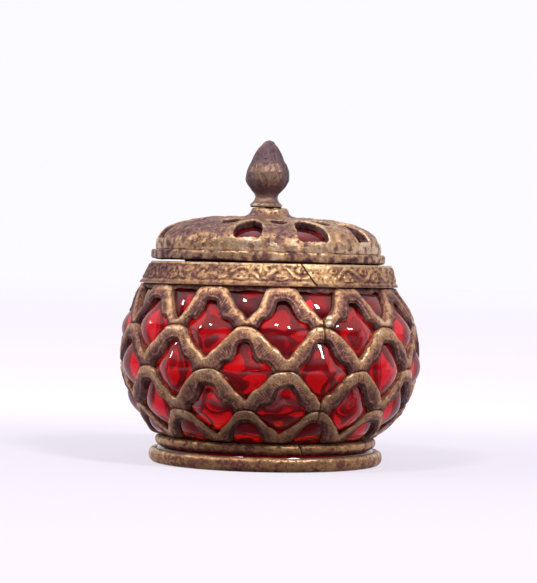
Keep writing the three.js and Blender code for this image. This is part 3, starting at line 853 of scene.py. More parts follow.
    def unrolled(self, azimuth: Array, length: Array, row: int) -> Array:
        """Points of a row on its surface laid flat.

        Args:
            azimuth: Azimuths.
            length: Lengths down the barrel.
            row: Number of the row, which sets the radius it is laid flat at.

        Returns:
            Points as distance round, length down and 0.
        """
        radius = float(self.barrel.radius(self.barrel.level((row + 0.5) * self.pitch)))
        azimuth, length = np.broadcast_arrays(azimuth, length)
        return np.stack((azimuth * radius, length, 0 * length), axis=-1).reshape(-1, 3)

    def strip(self, row: int) -> Piece:
        """Builds one row.

        Args:
            row: Number of the row, 0 at the top.

        Returns:
            The strip, open at the seam.
        """
        gap = self.seam_width / 2 / self.barrel.belly_radius
        turn = np.linspace(gap, TURN - gap, self.columns * self.samples)
        azimuth = self.seam_azimuth + turn[:, None]
        top, bottom = self.edges(azimuth, row)
        x = self.from_crest(azimuth, row)
        share = (1 - np.cos(np.linspace(0, math.pi, 23)))[None] / 2
        length = bottom + share * (top - bottom)
        flat = self.unrolled(azimuth, length, row)
        lines = [self.unrolled(azimuth, edge, row) for edge in (bottom, top)]
        up, down = (nearest(flat, line)[0].reshape(length.shape) for line in lines)
        middle = self.unrolled(azimuth, (top + bottom) / 2, row)
        steps = np.linalg.norm(np.diff(middle, axis=0), axis=1)
        run = np.concatenate(([0], np.cumsum(steps)))
        along = run[nearest(flat, middle)[1]].reshape(length.shape)
        blob = ease(x, 9.2, 11.6)
        ledge = 1 - blob
        tied = ease(x, 5.2, 3.4) if row == 0 else 0 * x

        def shoulder(distance: Array, radius: float) -> Array:
            """Drop of a rounded edge at a distance from it."""
            near = 1 - np.minimum(distance / radius, 1)
            return radius * (1 - np.sqrt(1 - near**2))

        worn_lip = 0.4 + 0.6 * ease(Sway(130 + row, 20, 70)(azimuth), -0.6, 0.8)
        lip = ridge(up, self.ledge + 0.4, 0.3) * ledge * worn_lip
        step = ease(up, self.ledge + 0.35, self.ledge - 0.35) * ledge
        crest = ease(x, 5.6, 3.6)
        height = self.thickness - shoulder(down, self.edge_round) * (1 - 0.55 * crest - 0.4 * tied)
        height -= shoulder(up, 1.4) * blob + shoulder(up, 0.7) * ledge - 0.12 * crest
        height += 0.16 * lip - self.ledge_drop * step + 0.12 * blob * np.sin(math.pi * share)
        surface = self.place(azimuth, length, height)
        height = height + 0.13 * Lumps(100 + row, 2.4)(surface)
        height += 0.07 * Lumps(110 + row, 0.9)(surface)
        outside = self.place(azimuth, length, height)
        inside = [self.place(azimuth, edge, 0 * edge - self.embedded) for edge in (bottom, top)]
        points = np.concatenate((inside[0], outside, inside[1]), axis=1)
        band = ease(down, 0.1, 0.7) * ease(down, 3.4, 1.9)
        favour = 0.34 * band + 0.26 * blob * ridge(share, 0.45, 0.3) + 0.22 * lip
        grime = 0.34 + 0.16 * Lumps(140 + row, 3.0)(surface)
        favour -= grime * step + 0.60 * blob * ease(up, 1.3, 0.2) + 0.25 * ease(down, 0.35, 0)
        # Painted light on the crests, most on the lower rows, in place of light thrown up from the table.
        favour += self.lightening[row] * (0.15 + 0.85 * crest * ease(up, 0.7, 1.8))
        # Painted shade: the strips are darkened towards the pot's left and right sides.
        favour -= self.painted_side_shade * ease(np.abs(np.sin(azimuth)), 0.72, 0.96)
        hatch = (0.35 + 0.65 * ease(up, self.ledge - 0.1, self.ledge + 0.5)) * ease(down, 1.3, 2.3)

        def padded(numbers: Array, ends: float) -> Array:
            """A number for each point, with one value for the two inner corners."""
            edge = np.full((len(numbers), 1), ends)
            return np.concatenate((edge, numbers, edge), axis=1)

        read = {"along": padded(along, 0.0), "hatch": padded(hatch, 0.0)}
        strip = skin(f"cage_strip_{row + 1}", points, Ends.CAPPED, **read)
        wear(strip, 4, 0.3, padded(favour, -0.5).ravel() - 0.12)
        return strip

    def hoop(self) -> Piece:
        """The thin recessed hoop behind the crests, which closes the top under the collar.

        Returns:
            The hoop.
        """
        high = self.barrel.top_z
        low = high - self.hoop_height
        outer = float(self.barrel.radius(low)) - 1.2
        inner = outer - self.thickness + 1.0
        corners = [(inner, low), (outer, low), (outer - 0.4, high + 0.2), (inner, high + 0.2)]
        hoop = turned("top_hoop", rounded(corners, 0.4, 0.5), 480)
        place = places(hoop.data)
        azimuth = np.arctan2(place[:, 0], -place[:, 1])
        drips = Sway(121, 6, 18)(azimuth) + 0.5 * Sway(122, 30, 60)(azimuth)
        place[:, 2] += 0.5 * MM * drips * ease(place[:, 2] / MM, high - 0.6, low + 0.4)
        move(hoop.data, place)
        displace(hoop, 0.12 * Lumps(120, 2.2)(place / MM))
        # Kept dark: unworn patina, with painted shade for the shadow under the collar's lip.
        wear(hoop, 6, 0.3, -0.7)
        return hoop

    def build(self, brass: Finish, braze: Finish) -> None:
        """Builds the rows and the braze on the seam.

        Args:
            brass: Finish of the rows.
            braze: Finish of the bead of braze.
        """
        for row in range(self.rows):
            fit(lopsided(self.strip(row)), f"cage_row_{row + 1}", brass)
        fit(self.hoop(), "cage_row_1", brass, instead=False)
        fit(lopsided(self.bead()), "seam_braze", braze)

    def bead(self) -> Piece:
        """The drip of braze that bridges the seam in the top row.

        Returns:
            The bead.
        """
        low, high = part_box("seam_braze")
        centre = (np.array(low) + np.array(high)) / 2 / MM
        down = np.linspace(0.04, math.pi - 0.04, 25)[:, None]
        around = np.linspace(0, TURN, 36, endpoint=False)[None]
        ball = polar(np.sin(down), around + math.pi / 2, np.cos(down))
        waist = 1 - 0.35 * ridge(ball[..., 2], -0.05, 0.3) + 0.15 * ball[..., 2]
        ball = ball * np.stack((1.5 * waist, 0.95 * waist, np.full_like(waist, 2.2)), axis=-1)
        ball[..., 0] += 0.3 * ball[..., 2] + 0.8
        ball = ball * (1 + 0.16 * Lumps(7, 1.5)(ball)[..., None])
        tilt = Matrix.Rotation(self.seam_azimuth, 3, "Z") @ Matrix.Rotation(-0.3, 3, "X")
        points = ball @ np.array(tilt).T + centre
        bead = skin("seam_bead", points, Ends.CAPPED)
        wear(bead, 3, 0.2, 0.25)
        return bead


@dataclass(frozen=True)
class GlassJar:
    """The blown jar, which swells out through every opening of the cage."""

    cage: Cage
    sunk: float = 2.1
    wall: float = 2.9
    swell: float = 2.45
    full: float = 8.5
    roundness: float = 0.88
    settling: int = 700
    softening: int = 18
    columns: int = 500
    rings: int = 128
    inner_rings: int = 40
    inner_start: int = 9
    top_margin: float = 1.9
    foot_margin: float = 0.3
    floor_wall: float = 2.7
    foot_flare: float = 1.05
    neck: float = 32.2
    mouth: float = 28.9

    def back(self, z: Array | float) -> Array:
        """Radius of the glass behind the strips, at each level."""
        return self.cage.barrel.radius(z) - self.sunk

    def openings(self, azimuth: Array, length: Array) -> Array:
        """Which points of a grid of the barrel lie in an opening of the cage.

        Args:
            azimuth: Azimuths of the grid's columns.
            length: Lengths down the barrel of its rows.

        Returns:
            Shares from 0 to 1, as an array of rows and columns.
        """
        cage = self.cage
        lines = [e for row in range(cage.rows) for e in cage.edges(azimuth, row)]
        end = cage.barrel.length - self.foot_margin
        lines = [np.full_like(azimuth, self.top_margin), *lines, np.full_like(azimuth, end)]
        half = abs(length[1] - length[0]) / 2
        inside = np.zeros((len(length), len(azimuth)))
        for top, bottom in zip(lines[::2], lines[1::2]):
            below = np.clip((length[:, None] - top) / half, 0, 1)
            inside += below * np.clip((bottom - length[:, None]) / half, 0, 1)
        return inside

    def swellings(self, azimuth: Array, length: Array) -> Array:
        """How far the glass swells out, as a film does that is blown through the openings.

        Args:
            azimuth: Azimuths of the grid's columns.
            length: Lengths down the barrel of its rows.

        Returns:
            Heights in millimetres, as an array of rows and columns.
        """
        inside = self.openings(azimuth, length)
        radius = self.back(self.cage.barrel.level(length))[:, None]
        across = 1 / (radius * (azimuth[1] - azimuth[0])) ** 2
        down = 1 / (length[1] - length[0]) ** 2
        film = np.zeros_like(inside)
        for _ in range(self.settling):
            sides = np.roll(film, 1, 1) + np.roll(film, -1, 1)
            ends = np.zeros_like(film)
            ends[1:-1] = film[:-2] + film[2:]
            film = inside * (sides * across + ends * down + 1) / (2 * across + 2 * down)
        swollen = self.swell * (film / self.full) ** self.roundness
        swollen *= (0.55 + 0.45 * ease(length, 7.0, 12.0))[:, None]
        for _ in range(self.softening):
            swollen = (2 * swollen + np.roll(swollen, 1, 1) + np.roll(swollen, -1, 1)) / 4
            swollen[1:-1] = (2 * swollen[1:-1] + swollen[:-2] + swollen[2:]) / 4
        return swollen

    def build(self, glass: Finish) -> None:
        """Builds the jar, from the middle of its foot round to the middle of its floor.

        Args:
            glass: Its finish.
        """
        barrel = self.cage.barrel
        foot, rim = span("glass_jar")
        floor = foot + self.floor_wall
        low, high = span("foot_band")
        waist = self.back(barrel.foot_z)
        flare = waist + self.foot_flare
        neck, mouth, top = self.neck, self.mouth, barrel.top_z
        azimuth = np.linspace(0, TURN, self.columns, endpoint=False)
        length = np.linspace(barrel.length, 0, self.rings)
        swollen = self.swellings(azimuth, length)
        belly_z = barrel.level(length)[:, None]
        base = [
            (0.05, foot + 0.6), (flare - 5, foot + 0.5), (flare - 3, foot), (flare - 0.8, foot + 0.2),
            (flare, foot + 1.0), (flare, low - 0.9), (flare - 0.5, low - 0.3),
            (waist, low + 0.2), (waist, high),
        ]
        collar = [
            (self.back(top) - 1.0, top + 0.9), (neck + 2.2, top + 1.5), (neck + 0.5, top + 2.2),
            (neck, top + 3.2), (neck, rim - 0.5), (neck - 0.5, rim), (mouth + 0.5, rim),
            (mouth, rim - 0.5), (mouth, top + 1.4), (mouth + 1.2, top + 0.1), (mouth + 4.2, top - 1.3),
        ]
        bottom = [(waist - 4.2, floor + 1.4), (waist - 8, floor), (0.05, floor)]
        keep = np.linspace(self.inner_start, self.rings - 1, self.inner_rings).astype(int)[::-1]
        hollow = self.back(belly_z[keep]) - self.wall + 0.45 * swollen[keep]
        belly = polar(self.back(belly_z) + swollen, azimuth, belly_z)
        inside = polar(hollow, azimuth, belly_z[keep])
        plain = [spun(outline, azimuth) for outline in (base, collar, bottom)]
        points = np.concatenate((plain[0], belly, plain[1], inside, plain[2]))
        # Painted shade: the clear share falls to nothing where the glass meets the strips, and deep lowers
        # it right under the collar.
        clear = np.zeros(points.shape[:2])
        deep = 0.55 + 0.45 * ease(length, 4.0, 8.0)[:, None]
        clear[len(base) : len(base) + self.rings] = ease(swollen, 0.15, 0.8) * deep
        clear[-len(bottom) - len(keep) : -len(bottom)] = ease(swollen[keep], 0.15, 0.8)
        jar = skin("blown_jar", points, Ends.CAPPED, clear=clear)
        fit(lopsided(jar), "glass_jar", glass)


@dataclass(frozen=True)
class Foot:
    """The heavy ring that the pot stands on, and the half-round band over it."""

    columns: int = 360
    wall: float = 2.9
    ledge: float = 5.4
    ledge_height: float = 1.6
    band_wall: float = 2.45
    half_seam: float = 0.28
    seam_turn: float = math.radians(-1)
    seam_slant: float = 0.012

    def ring(self) -> Piece:
        """The base ring, worn soft and a little uneven.

        Returns:
            The ring.
        """
        low, high = span("base_ring")
        outer = reach("base_ring")
        bore = outer - self.wall
        corners = [
            (bore - self.ledge, low), (outer - 1.1, low), (outer - 0.1, low + 1.1),
            (outer, (low + high) / 2), (outer - 0.1, high - 0.9), (outer - 0.8, high),
            (bore, high), (bore, low + self.ledge_height), (bore - self.ledge, low + self.ledge_height),
        ]
        ring = turned("foot_ring", rounded(corners, 0.8, 0.6), self.columns)
        place = places(ring.data) / MM
        uneven = 0.10 * Lumps(21, 6.0)(place) + 0.06 * Lumps(22, 1.8)(place)
        displace(ring, uneven * ease(place[:, 2], low + 0.1, low + 1.0))
        # Painted light: the ring's upper edge, which faces up, is made more golden.
        edge = ease(place[:, 2], high - 1.3, high - 0.5) * ease(place[:, 2], high + 0.3, high - 0.1)
        wear(ring, 14, 0.5, 0.24 * edge - 0.02)
        return ring

    def band(self, seam: float) -> Piece:
        """The half-round band, bent from a strip.

        Args:
            seam: Azimuth of its open seam.

        Returns:
            The band.
        """
        low, high = span("foot_band")
        middle = (low + high) / 2
        outer = reach("foot_band")
        bore = outer - self.band_wall
        corners = [
            (bore, low), (outer - 1.5, low), (outer - 0.35, low + 0.8), (outer + 0.05, middle + 0.1),
            (outer - 0.1, high - 0.6), (outer - 0.9, high + 0.1), (bore, high),
        ]
        outline = rounded(corners, 0.7, 0.5)
        gap = self.half_seam / outer
        azimuth = (seam + np.linspace(gap, TURN - gap, self.columns))[:, None]
        lean = self.seam_slant * (outline[None, :, 1] - low)
        points = polar(outline[None, :, 0], azimuth - lean, outline[None, :, 1])
        band = skin("half_round_band", points, Ends.CAPPED)
        place = places(band.data) / MM
        displace(band, 0.09 * Lumps(23, 4.0)(place) + 0.05 * Lumps(24, 1.3)(place))
        # Painted shade: the band's lower half, which faces down, is made darker.
        wear(band, 8, 0.35, 0.05 - 0.5 * ease(place[:, 2], middle - 0.1, low + 0.7))
        return band

    def build(self, brass: Finish, seam: float) -> None:
        """Builds both pieces in one finish, with the band's seam just beside the cage's."""
        fit(self.ring(), "base_ring", brass)
        fit(self.band(seam + self.seam_turn), "foot_band", brass)


@dataclass(frozen=True)
class Collar:
    """The flared collar round the neck, with a running scroll in worn relief."""

    seam_azimuth: float
    wall: float = 1.9
    taper: float = 3.2
    lip_height: float = 1.25
    half_seam: float = 0.34
    seam_turn: float = math.radians(0.6)
    seam_slant: float = math.radians(-1.04)
    shove: float = 0.8
    repeats: int = 20
    relief_height: float = 0.38
    stroke: float = 0.66
    bar_pitch: float = 2.3
    bar_seed: int = 36
    columns: int = 1300
    levels: int = 30
    bore: float = 32.5
    rubbed_lip: tuple[float, ...] = (-0.6, -0.6, -0.7, -0.8, -0.75, -0.35, 0.05, 0.1)

    def scroll(self, period: float, height: float) -> Array:
        """Points along one repeat of a running scroll: a wavy stem with a palmette in each bay.

        Args:
            period: Length of a repeat round the collar.
            height: Height of the field.

        Returns:
            Points as distance round and height, with the middle of the field at 0.
        """
        t = np.linspace(0, 1, 80, endpoint=False)
        wave = np.sin(TURN * t) * (1 + 0.12 * np.cos(2 * TURN * t))
        parts = [np.stack((t, 0.38 * wave), axis=1)]
        s = np.linspace(0, 1, 16)[:, None]
        for side, middle in ((1, 0.25), (-1, 0.75)):
            hearts = ((0.02, -0.43), (0.20, -0.42), (0.115, -0.10), (0.055, -0.2))
            lobes = ((0.03, -0.40), (0.17, -0.20), (0.06, 0.02), (0.04, -0.05))
            for hand in (-1, 1):
                a, b, c, d = (np.array(q) for q in (hearts if side > 0 else lobes))
                arc = (1 - s) ** 3 * a + 3 * s * (1 - s) ** 2 * b + 3 * s * s * (1 - s) * c + s**3 * d
                parts.append(arc * (hand, side) + (middle, 0))
            tip = -0.02 if side > 0 else -0.24
            parts.append(np.hstack((0 * s + middle, side * (-0.42 + (0.42 + tip) * s))))
        return np.concatenate(parts) * (period, height)

    def ornament(self, around: Array, up: Array, height: float) -> Array:
        """Height of the relief on the collar's outer face.

        Args:
            around: Distance round the collar, from 0, of each point.
            up: Level of each point over the middle of the field.
            height: Height of the field.

        Returns:
            Heights from 0 to 1.
        """
        period = float(around.max()) / self.repeats
        line = self.scroll(period, height)
        line = np.concatenate([line + (shift * period, 0) for shift in (-1, 0, 1)])
        azimuth = self.seam_azimuth + around / around.max() * TURN
        sway = 0.3 * Sway(31, 8, 40)(azimuth)
        flat = np.stack(((around + sway) % period, up + 0.2 * sway), axis=-1).reshape(-1, 2)
        flat, line = (np.pad(points, ((0, 0), (0, 1))) for points in (flat, line))
        depth = nearest(flat, line)[0].reshape(up.shape)
        stroke = self.stroke * (1 + 0.18 * Sway(32, 30, 90)(azimuth))
        vine = np.exp(-((depth / stroke) ** 3))
        bars = (around + 0.75 * up + 2 * sway) * TURN / self.bar_pitch
        leaves = ease(np.sin(bars), -0.9, 0.6) * ease(np.abs(up), 0.5 * height, 0.36 * height)
        share = 0.8 * ease(Sway(self.bar_seed, 2, 7)(azimuth), 0.4, 0.9)
        relief_map = (1 - share) * vine + share * leaves
        broken = 0.22 * Lumps(37, 0.9)(polar(40.0, azimuth, up))
        return np.clip(relief_map + broken, -0.2, 1.15)

    def build(self, brass: Finish) -> None:
        """Builds the collar.

        Args:
            brass: Its finish.
        """
        low, high = span("neck_collar")
        lip = reach("neck_collar")
        edge, bore = lip - self.taper, self.bore
        lip_top = low + self.lip_height
        z = np.linspace(lip_top + 0.55, high - 0.75, self.levels)
        face = np.stack((np.interp(z, (lip_top + 0.5, high), (lip - 1.1, edge)), z), axis=1)
        below = [
            (lip - 0.8 - self.wall, low), (lip - 1.2, low), (lip - 0.25, low + 0.03), (lip, low + 0.25),
            (lip - 0.05, lip_top - 0.75), (lip - 0.35, lip_top - 0.35), (lip - 0.75, lip_top),
            (lip - 1.02, lip_top + 0.35),
        ]
        above = [
            (edge + 0.22, high - 0.62), (edge + 0.22, high - 0.3), (edge - 0.05, high),
            (edge - 1.2, high), (bore + 2, high), (bore, high - 0.2), (bore, high - 1.4),
            (edge - self.wall, high - 1.4),
        ]
        outline = np.concatenate((below, face, above))
        gap = self.half_seam / lip
        seam = self.seam_azimuth + self.seam_turn
        turn = np.linspace(gap, TURN - gap, self.columns)[:, None]
        slant = self.seam_slant * (outline[None, :, 1] - low)
        azimuth = seam + turn + slant
        radius = np.broadcast_to(outline[None, :, 0], azimuth.shape).copy()
        level = np.broadcast_to(outline[None, :, 1], azimuth.shape)
        on_face = slice(len(below), len(below) + self.levels)
        around = (turn + slant)[:, on_face] * edge
        around = around - around.min()
        middle = (lip_top + high) / 2
        height = self.ornament(around, level[:, on_face] - middle, high - lip_top - 1.2)
        flat = polar(radius, azimuth, level)
        smeared = ease(turn, 0.26, 0.16) * ease(turn, -0.01, 0.02)
        faded = 1 - 0.85 * smeared - 0.45 * ease(Lumps(33, 14.0)(flat[:, on_face]), 0.2, 0.9)
        radius[:, on_face] += self.relief_height * height * np.clip(faded, 0.1, 1)
        radius += 0.06 * Lumps(34, 3.0)(flat) + 0.035 * Lumps(35, 1.0)(flat)
        points = polar(radius, azimuth, level)
        points[..., 0] += self.shove * (level - low) / (high - low) * ease(radius, 34, 38)
        collar = skin("scroll_collar", points, Ends.CAPPED)
        favour = np.zeros(radius.shape)
        # Painted shade: the collar's face is darkened on the pot's left side, away from the key lamp.
        painted_left_shade = 0.2 * ease(np.cos(azimuth[:, on_face] + math.radians(72)), 0.75, 0.95)
        favour[:, on_face] = 0.22 * height * faded - 0.20 + 0.30 * smeared - painted_left_shade
        favour[:, : len(below)] += np.array(self.rubbed_lip)
        favour[:, len(below) + self.levels + 2 :] -= 0.8
        wear(collar, 12, 0.35, favour.ravel() + 0.04)
        fit(collar, "neck_collar", brass)


def askew(piece: Piece) -> Piece:
    """Sets a piece of the lid as the lid lies in the mouth: within its play, and a little aslant.

    Args:
        piece: The piece, which is changed.

    Returns:
        The same piece.
    """
    pivot = Matrix.Translation((0, 0, span("lid_rim")[0] * MM))
    slant = Matrix.Rotation(math.radians(LID_SLANT), 4, "Y")
    play = Matrix.Translation((-LID_PLAY * MM, 0, 0))
    piece.data.transform(play @ pivot @ slant @ pivot.inverted())
    return piece


@dataclass(frozen=True)
class Lid:
    """The openwork dome on its flat rim, with its red glass lining."""

    dome_wall: float = 2.8
    dome_foot: float = 38.2
    dome_height: float = 11.9
    squareness: float = 3.12
    boss_foot: float = 9.8
    boss_top: float = 6.4
    windows: int = 11
    first_window: float = math.radians(-10.5)
    blind_window: int = 10
    quirks: tuple[tuple[float, float], ...] = ((-0.008, 0.92), (0.030, 1.0), (0.045, 0.8))
    window_radius: float = 32.6
    slit_radius: float = 27.4
    window_seed: int = 5
    grain: float = 0.42
    dome_sunk: float = 0.33
    rim_margin: float = 0.6
    rim_bore: float = 26.9
    tang_hole: float = 1.9
    lining_hole: float = 2.2
    lining_wall: float = 2.0

    def rise(self, radius: Array | float, foot: float, height: float) -> Array:
        """Height of a dome of this form over its foot, at distances from the axis."""
        n = self.squareness
        return height * (1 - np.minimum(1, radius / foot) ** n) ** (1 / n)

    def outline(self, foot: float, height: float, last: float, low: float, steps: int) -> Array:
        """A dome's outline from its foot to near the axis.

        Args:
            foot: Radius of the foot.
            height: Height of the crown.
            last: Radius where the outline stops.
            low: Level of the foot.
            steps: Number of points.

        Returns:
            Points as radius and level.
        """
        n = self.squareness
        angle = np.linspace(math.pi / 2, math.asin((last / foot) ** (n / 2)), steps)
        radius = foot * np.sin(angle) ** (2 / n)
        return np.stack((radius, low + self.rise(radius, foot, height)), axis=1)

    def cutter(self, shape: Array, azimuth: float, radius: float, low: float) -> Array:
        """A tapering prism that cuts a window square to the dome.

        Args:
            shape: Outline of the window, as points across and up, in millimetres.
            azimuth: Azimuth of the window.
            radius: Distance of its middle from the axis.
            low: Level of the dome's foot.

        Returns:
            Two rings of points, inside and outside the dome.
        """
        n = self.squareness
        rise = float(self.rise(radius, self.dome_foot, self.dome_height))
        outwards = radius ** (n - 1) / self.dome_foot**n
        upwards = rise ** (n - 1) / self.dome_height**n
        lean = math.atan2(outwards, upwards)
        turn = np.array(Matrix.Rotation(azimuth, 3, "Z") @ Matrix.Rotation(lean, 3, "X"))
        flat = [
            np.column_stack((shape * scale, np.full(len(shape), depth)))
            for depth, scale in ((-4.5, 0.92), (4.5, 1.08))
        ]
        return np.stack(flat) @ turn.T + polar(radius, azimuth, low + rise)

    def arch(self) -> Array:
        """Outline of a large window: a flat sill under a pointed arch, as points across and up."""
        right = bend((5.3, -5.8), (5.9, 2.6), (0.0, 7.6), 10)
        sill = [(-4.5, -6.5), (0.0, -6.6), (4.5, -6.5)]
        return np.concatenate((right, right[::-1][1:] * (-1, 1), sill))

    def slit(self) -> Array:
        """Outline of a small window, narrower towards the rim, as points across and up."""
        right = bend((0.3, -3.8), (3.0, -3.0), (3.1, 1.4), 8)
        over = bend((3.1, 1.4), (0.0, 6.2), (-3.1, 1.4), 8)
        return np.concatenate((right, over[1:], right[::-1][1:] * (-1, 1)))

    def dome(self) -> Piece:
        """The cast dome, cut through and softened as castings are.

        Returns:
            The dome.
        """
        low, top = span("lid_dome")
        low -= self.dome_sunk
        crown, hole = low + self.dome_height, self.tang_hole
        inner_foot, inner_height = self.dome_foot - self.dome_wall, self.dome_height - self.dome_wall
        inside = self.outline(inner_foot, inner_height, hole, low, 26)
        outside = self.outline(self.dome_foot, self.dome_height, self.boss_foot, low, 36)
        boss = [
            (0.55 * self.boss_top + 0.45 * self.boss_foot, crown + 0.45),
            (self.boss_top + 0.35, crown + 1.2),
            (self.boss_top, top - 0.6),
            (self.boss_top - 0.5, top),
            (hole, top),
        ]
        shell = turned("lid_shell", np.concatenate((inside[::-1], outside, boss)), 264)
        rng = np.random.default_rng(self.window_seed)
        points: list[list[float]] = []
        faces: list[list[int]] = []
        for number in range(self.windows):
            azimuth = self.first_window + TURN * number / self.windows
            shapes = [(self.slit(), azimuth + math.pi / self.windows, self.slit_radius)]
            if number != self.blind_window:
                shift, width = self.quirks[number] if number < len(self.quirks) else (0, 1)
                shapes.append((self.arch() * (width, 1), azimuth + shift, self.window_radius))
            for shape, turn, radius in shapes:
                shape = shape * rng.uniform(0.92, 1.08, 2) + rng.uniform(-0.12, 0.12, shape.shape)
                rings = self.cutter(shape, turn + rng.uniform(-0.012, 0.012), radius, low)
                start, count = len(points), len(shape)
                points += (rings.reshape(-1, 3) * MM).tolist()
                ring = np.arange(start, start + count)
                around = np.roll(ring, -1)
                faces += np.stack((ring, around, around + count, ring + count), axis=1).tolist()
                faces += [ring[::-1].tolist(), (ring + count).tolist()]
        mesh = bpy.data.meshes.new("window_cutters")
        mesh.from_pydata(points, [], faces)
        cutters = finished("window_cutters", mesh)
        cut = shell.modifiers.new("windows", "BOOLEAN")
        cut.operation, cut.solver, cut.object = "DIFFERENCE", "EXACT", cutters
        cast = shell.modifiers.new("cast", "REMESH")
        cast.mode, cast.voxel_size = "VOXEL", self.grain * MM
        soften = shell.modifiers.new("soften", "SMOOTH")
        soften.factor, soften.iterations = 0.5, 3
        dome = evaluated(shell, "openwork_dome")
        bpy.data.objects.remove(cutters)
        place = places(dome.data) / MM
        displace(dome, self.blemishes(place, low))
        wear(dome, 7, 0.22, self.handled(place, low))
        return dome

    def blemishes(self, place: Array, low: float) -> Array:
        """Unevenness of the dome's casting, with a dent where one window stayed shut.

        Args:
            place: Points in millimetres.
            low: Level of the dome's foot.

        Returns:
            Heights in millimetres.
        """
        azimuth = self.first_window + TURN * self.blind_window / self.windows
        dent = polar(self.window_radius, azimuth, low + 8.3)
        depth = np.linalg.norm(place - dent, axis=1)
        uneven = 0.16 * Lumps(51, 5.0)(place) + 0.09 * Lumps(52, 1.7)(place)
        return uneven - 0.8 * ease(depth, 4.2, 0.8)

    def handled(self, place: Array, low: float) -> Array:
        """Where hands have polished the dome: its outside, most of all above the rim, with painted shade
        on the upper part of its left side.

        Args:
            place: Points in millimetres.
            low: Level of the dome's foot.

        Returns:
            Numbers that are added to the wear.
        """
        radius = np.hypot(place[:, 0], place[:, 1])
        outer = low + self.rise(radius, self.dome_foot, self.dome_height)
        under = outer - place[:, 2]
        skirt = ease(place[:, 2], low + 6.5, low + 2.0)
        foot = self.dome_foot
        inside = ease(under, 0.3, 0.9) * ease(radius, foot - 0.4, foot - 1.2)
        dirt = ease(Lumps(56, 1.3)(place), 0.1, 0.9) * ease(place[:, 2], low + 5.5, low + 1.5)
        # Painted shade: the upper part of the dome's left side is made duller and darker.
        left = ease(place[:, 0], 2, -20) * ease(place[:, 2], low + 3, low + 6)
        return 0.40 * skirt - 0.17 * left - 0.6 * inside - 0.6 * dirt

    def rim(self) -> Piece:
        """The flat rim, with hammered edges.

        Returns:
            The rim.
        """
        low, high = span("lid_rim")
        outer = reach("lid_rim") + self.rim_margin
        corners = [
            (self.rim_bore, low), (outer - 1.9, low), (outer - 1.4, low + 0.2), (outer - 0.3, low + 0.4),
            (outer, low + 1.0), (outer - 0.05, high - 0.7), (outer - 0.35, high), (self.rim_bore, high),
        ]
        rim = turned("flat_rim", rounded(corners, 0.6, 0.45), 360)
        place = places(rim.data) / MM
        out = ease(np.hypot(place[:, 0], place[:, 1]), 36, 39)
        displace(rim, out * (0.08 * Lumps(61, 5.0)(place) + 0.07 * Lumps(62, 1.6)(place)))
        dirt = 0.7 * ease(Lumps(63, 1.3)(place), 0.1, 0.8)
        wear(rim, 8, 0.35, 0.14 - dirt - 0.6 * ease(place[:, 2], low + 0.6, low + 0.3))
        return rim

    def spigot(self) -> Piece:
        """The short ring under the rim that keeps the lid in the mouth.

        Returns:
            The ring.
        """
        low, high = span("lid_spigot")
        outer = reach("lid_spigot") - 0.1
        corners = [(outer - 1.1, low), (outer, low), (outer, high + 0.32), (outer - 1.1, high + 0.32)]
        spigot = turned("spigot_ring", rounded(corners, 0.35, 0.5), 240)
        displace(spigot, 0.05 * Lumps(65, 2.0)(places(spigot.data) / MM))
        wear(spigot, 8, 0.3, -0.1)
        return spigot

    def lining(self) -> Piece:
        """The red glass under the dome.

        Returns:
            The lining.
        """
        low, high = span("lid_glass")
        foot = self.dome_foot - self.dome_wall - 0.3
        wall, hole = self.lining_wall, self.lining_hole
        outside = self.outline(foot, high - low, hole, low, 40)
        inside = self.outline(foot - wall, high - low - wall, hole, low, 34)
        return turned("glass_lining", np.concatenate((inside[::-1], outside)), 180)

    def build(self, brass: Finish, dull: Finish, glass: Finish) -> None:
        """Builds the lid.

        Args:
            brass: Finish of the parts in view.
            dull: Finish of the parts inside.
            glass: Finish of the lining.
        """
        fit(askew(self.rim()), "lid_rim", brass)
        fit(askew(self.dome()), "lid_dome", brass)
        fit(askew(self.lining()), "lid_glass", glass)
        fit(askew(self.spigot()), "lid_spigot", dull)
        coat("finial_washer", dull)


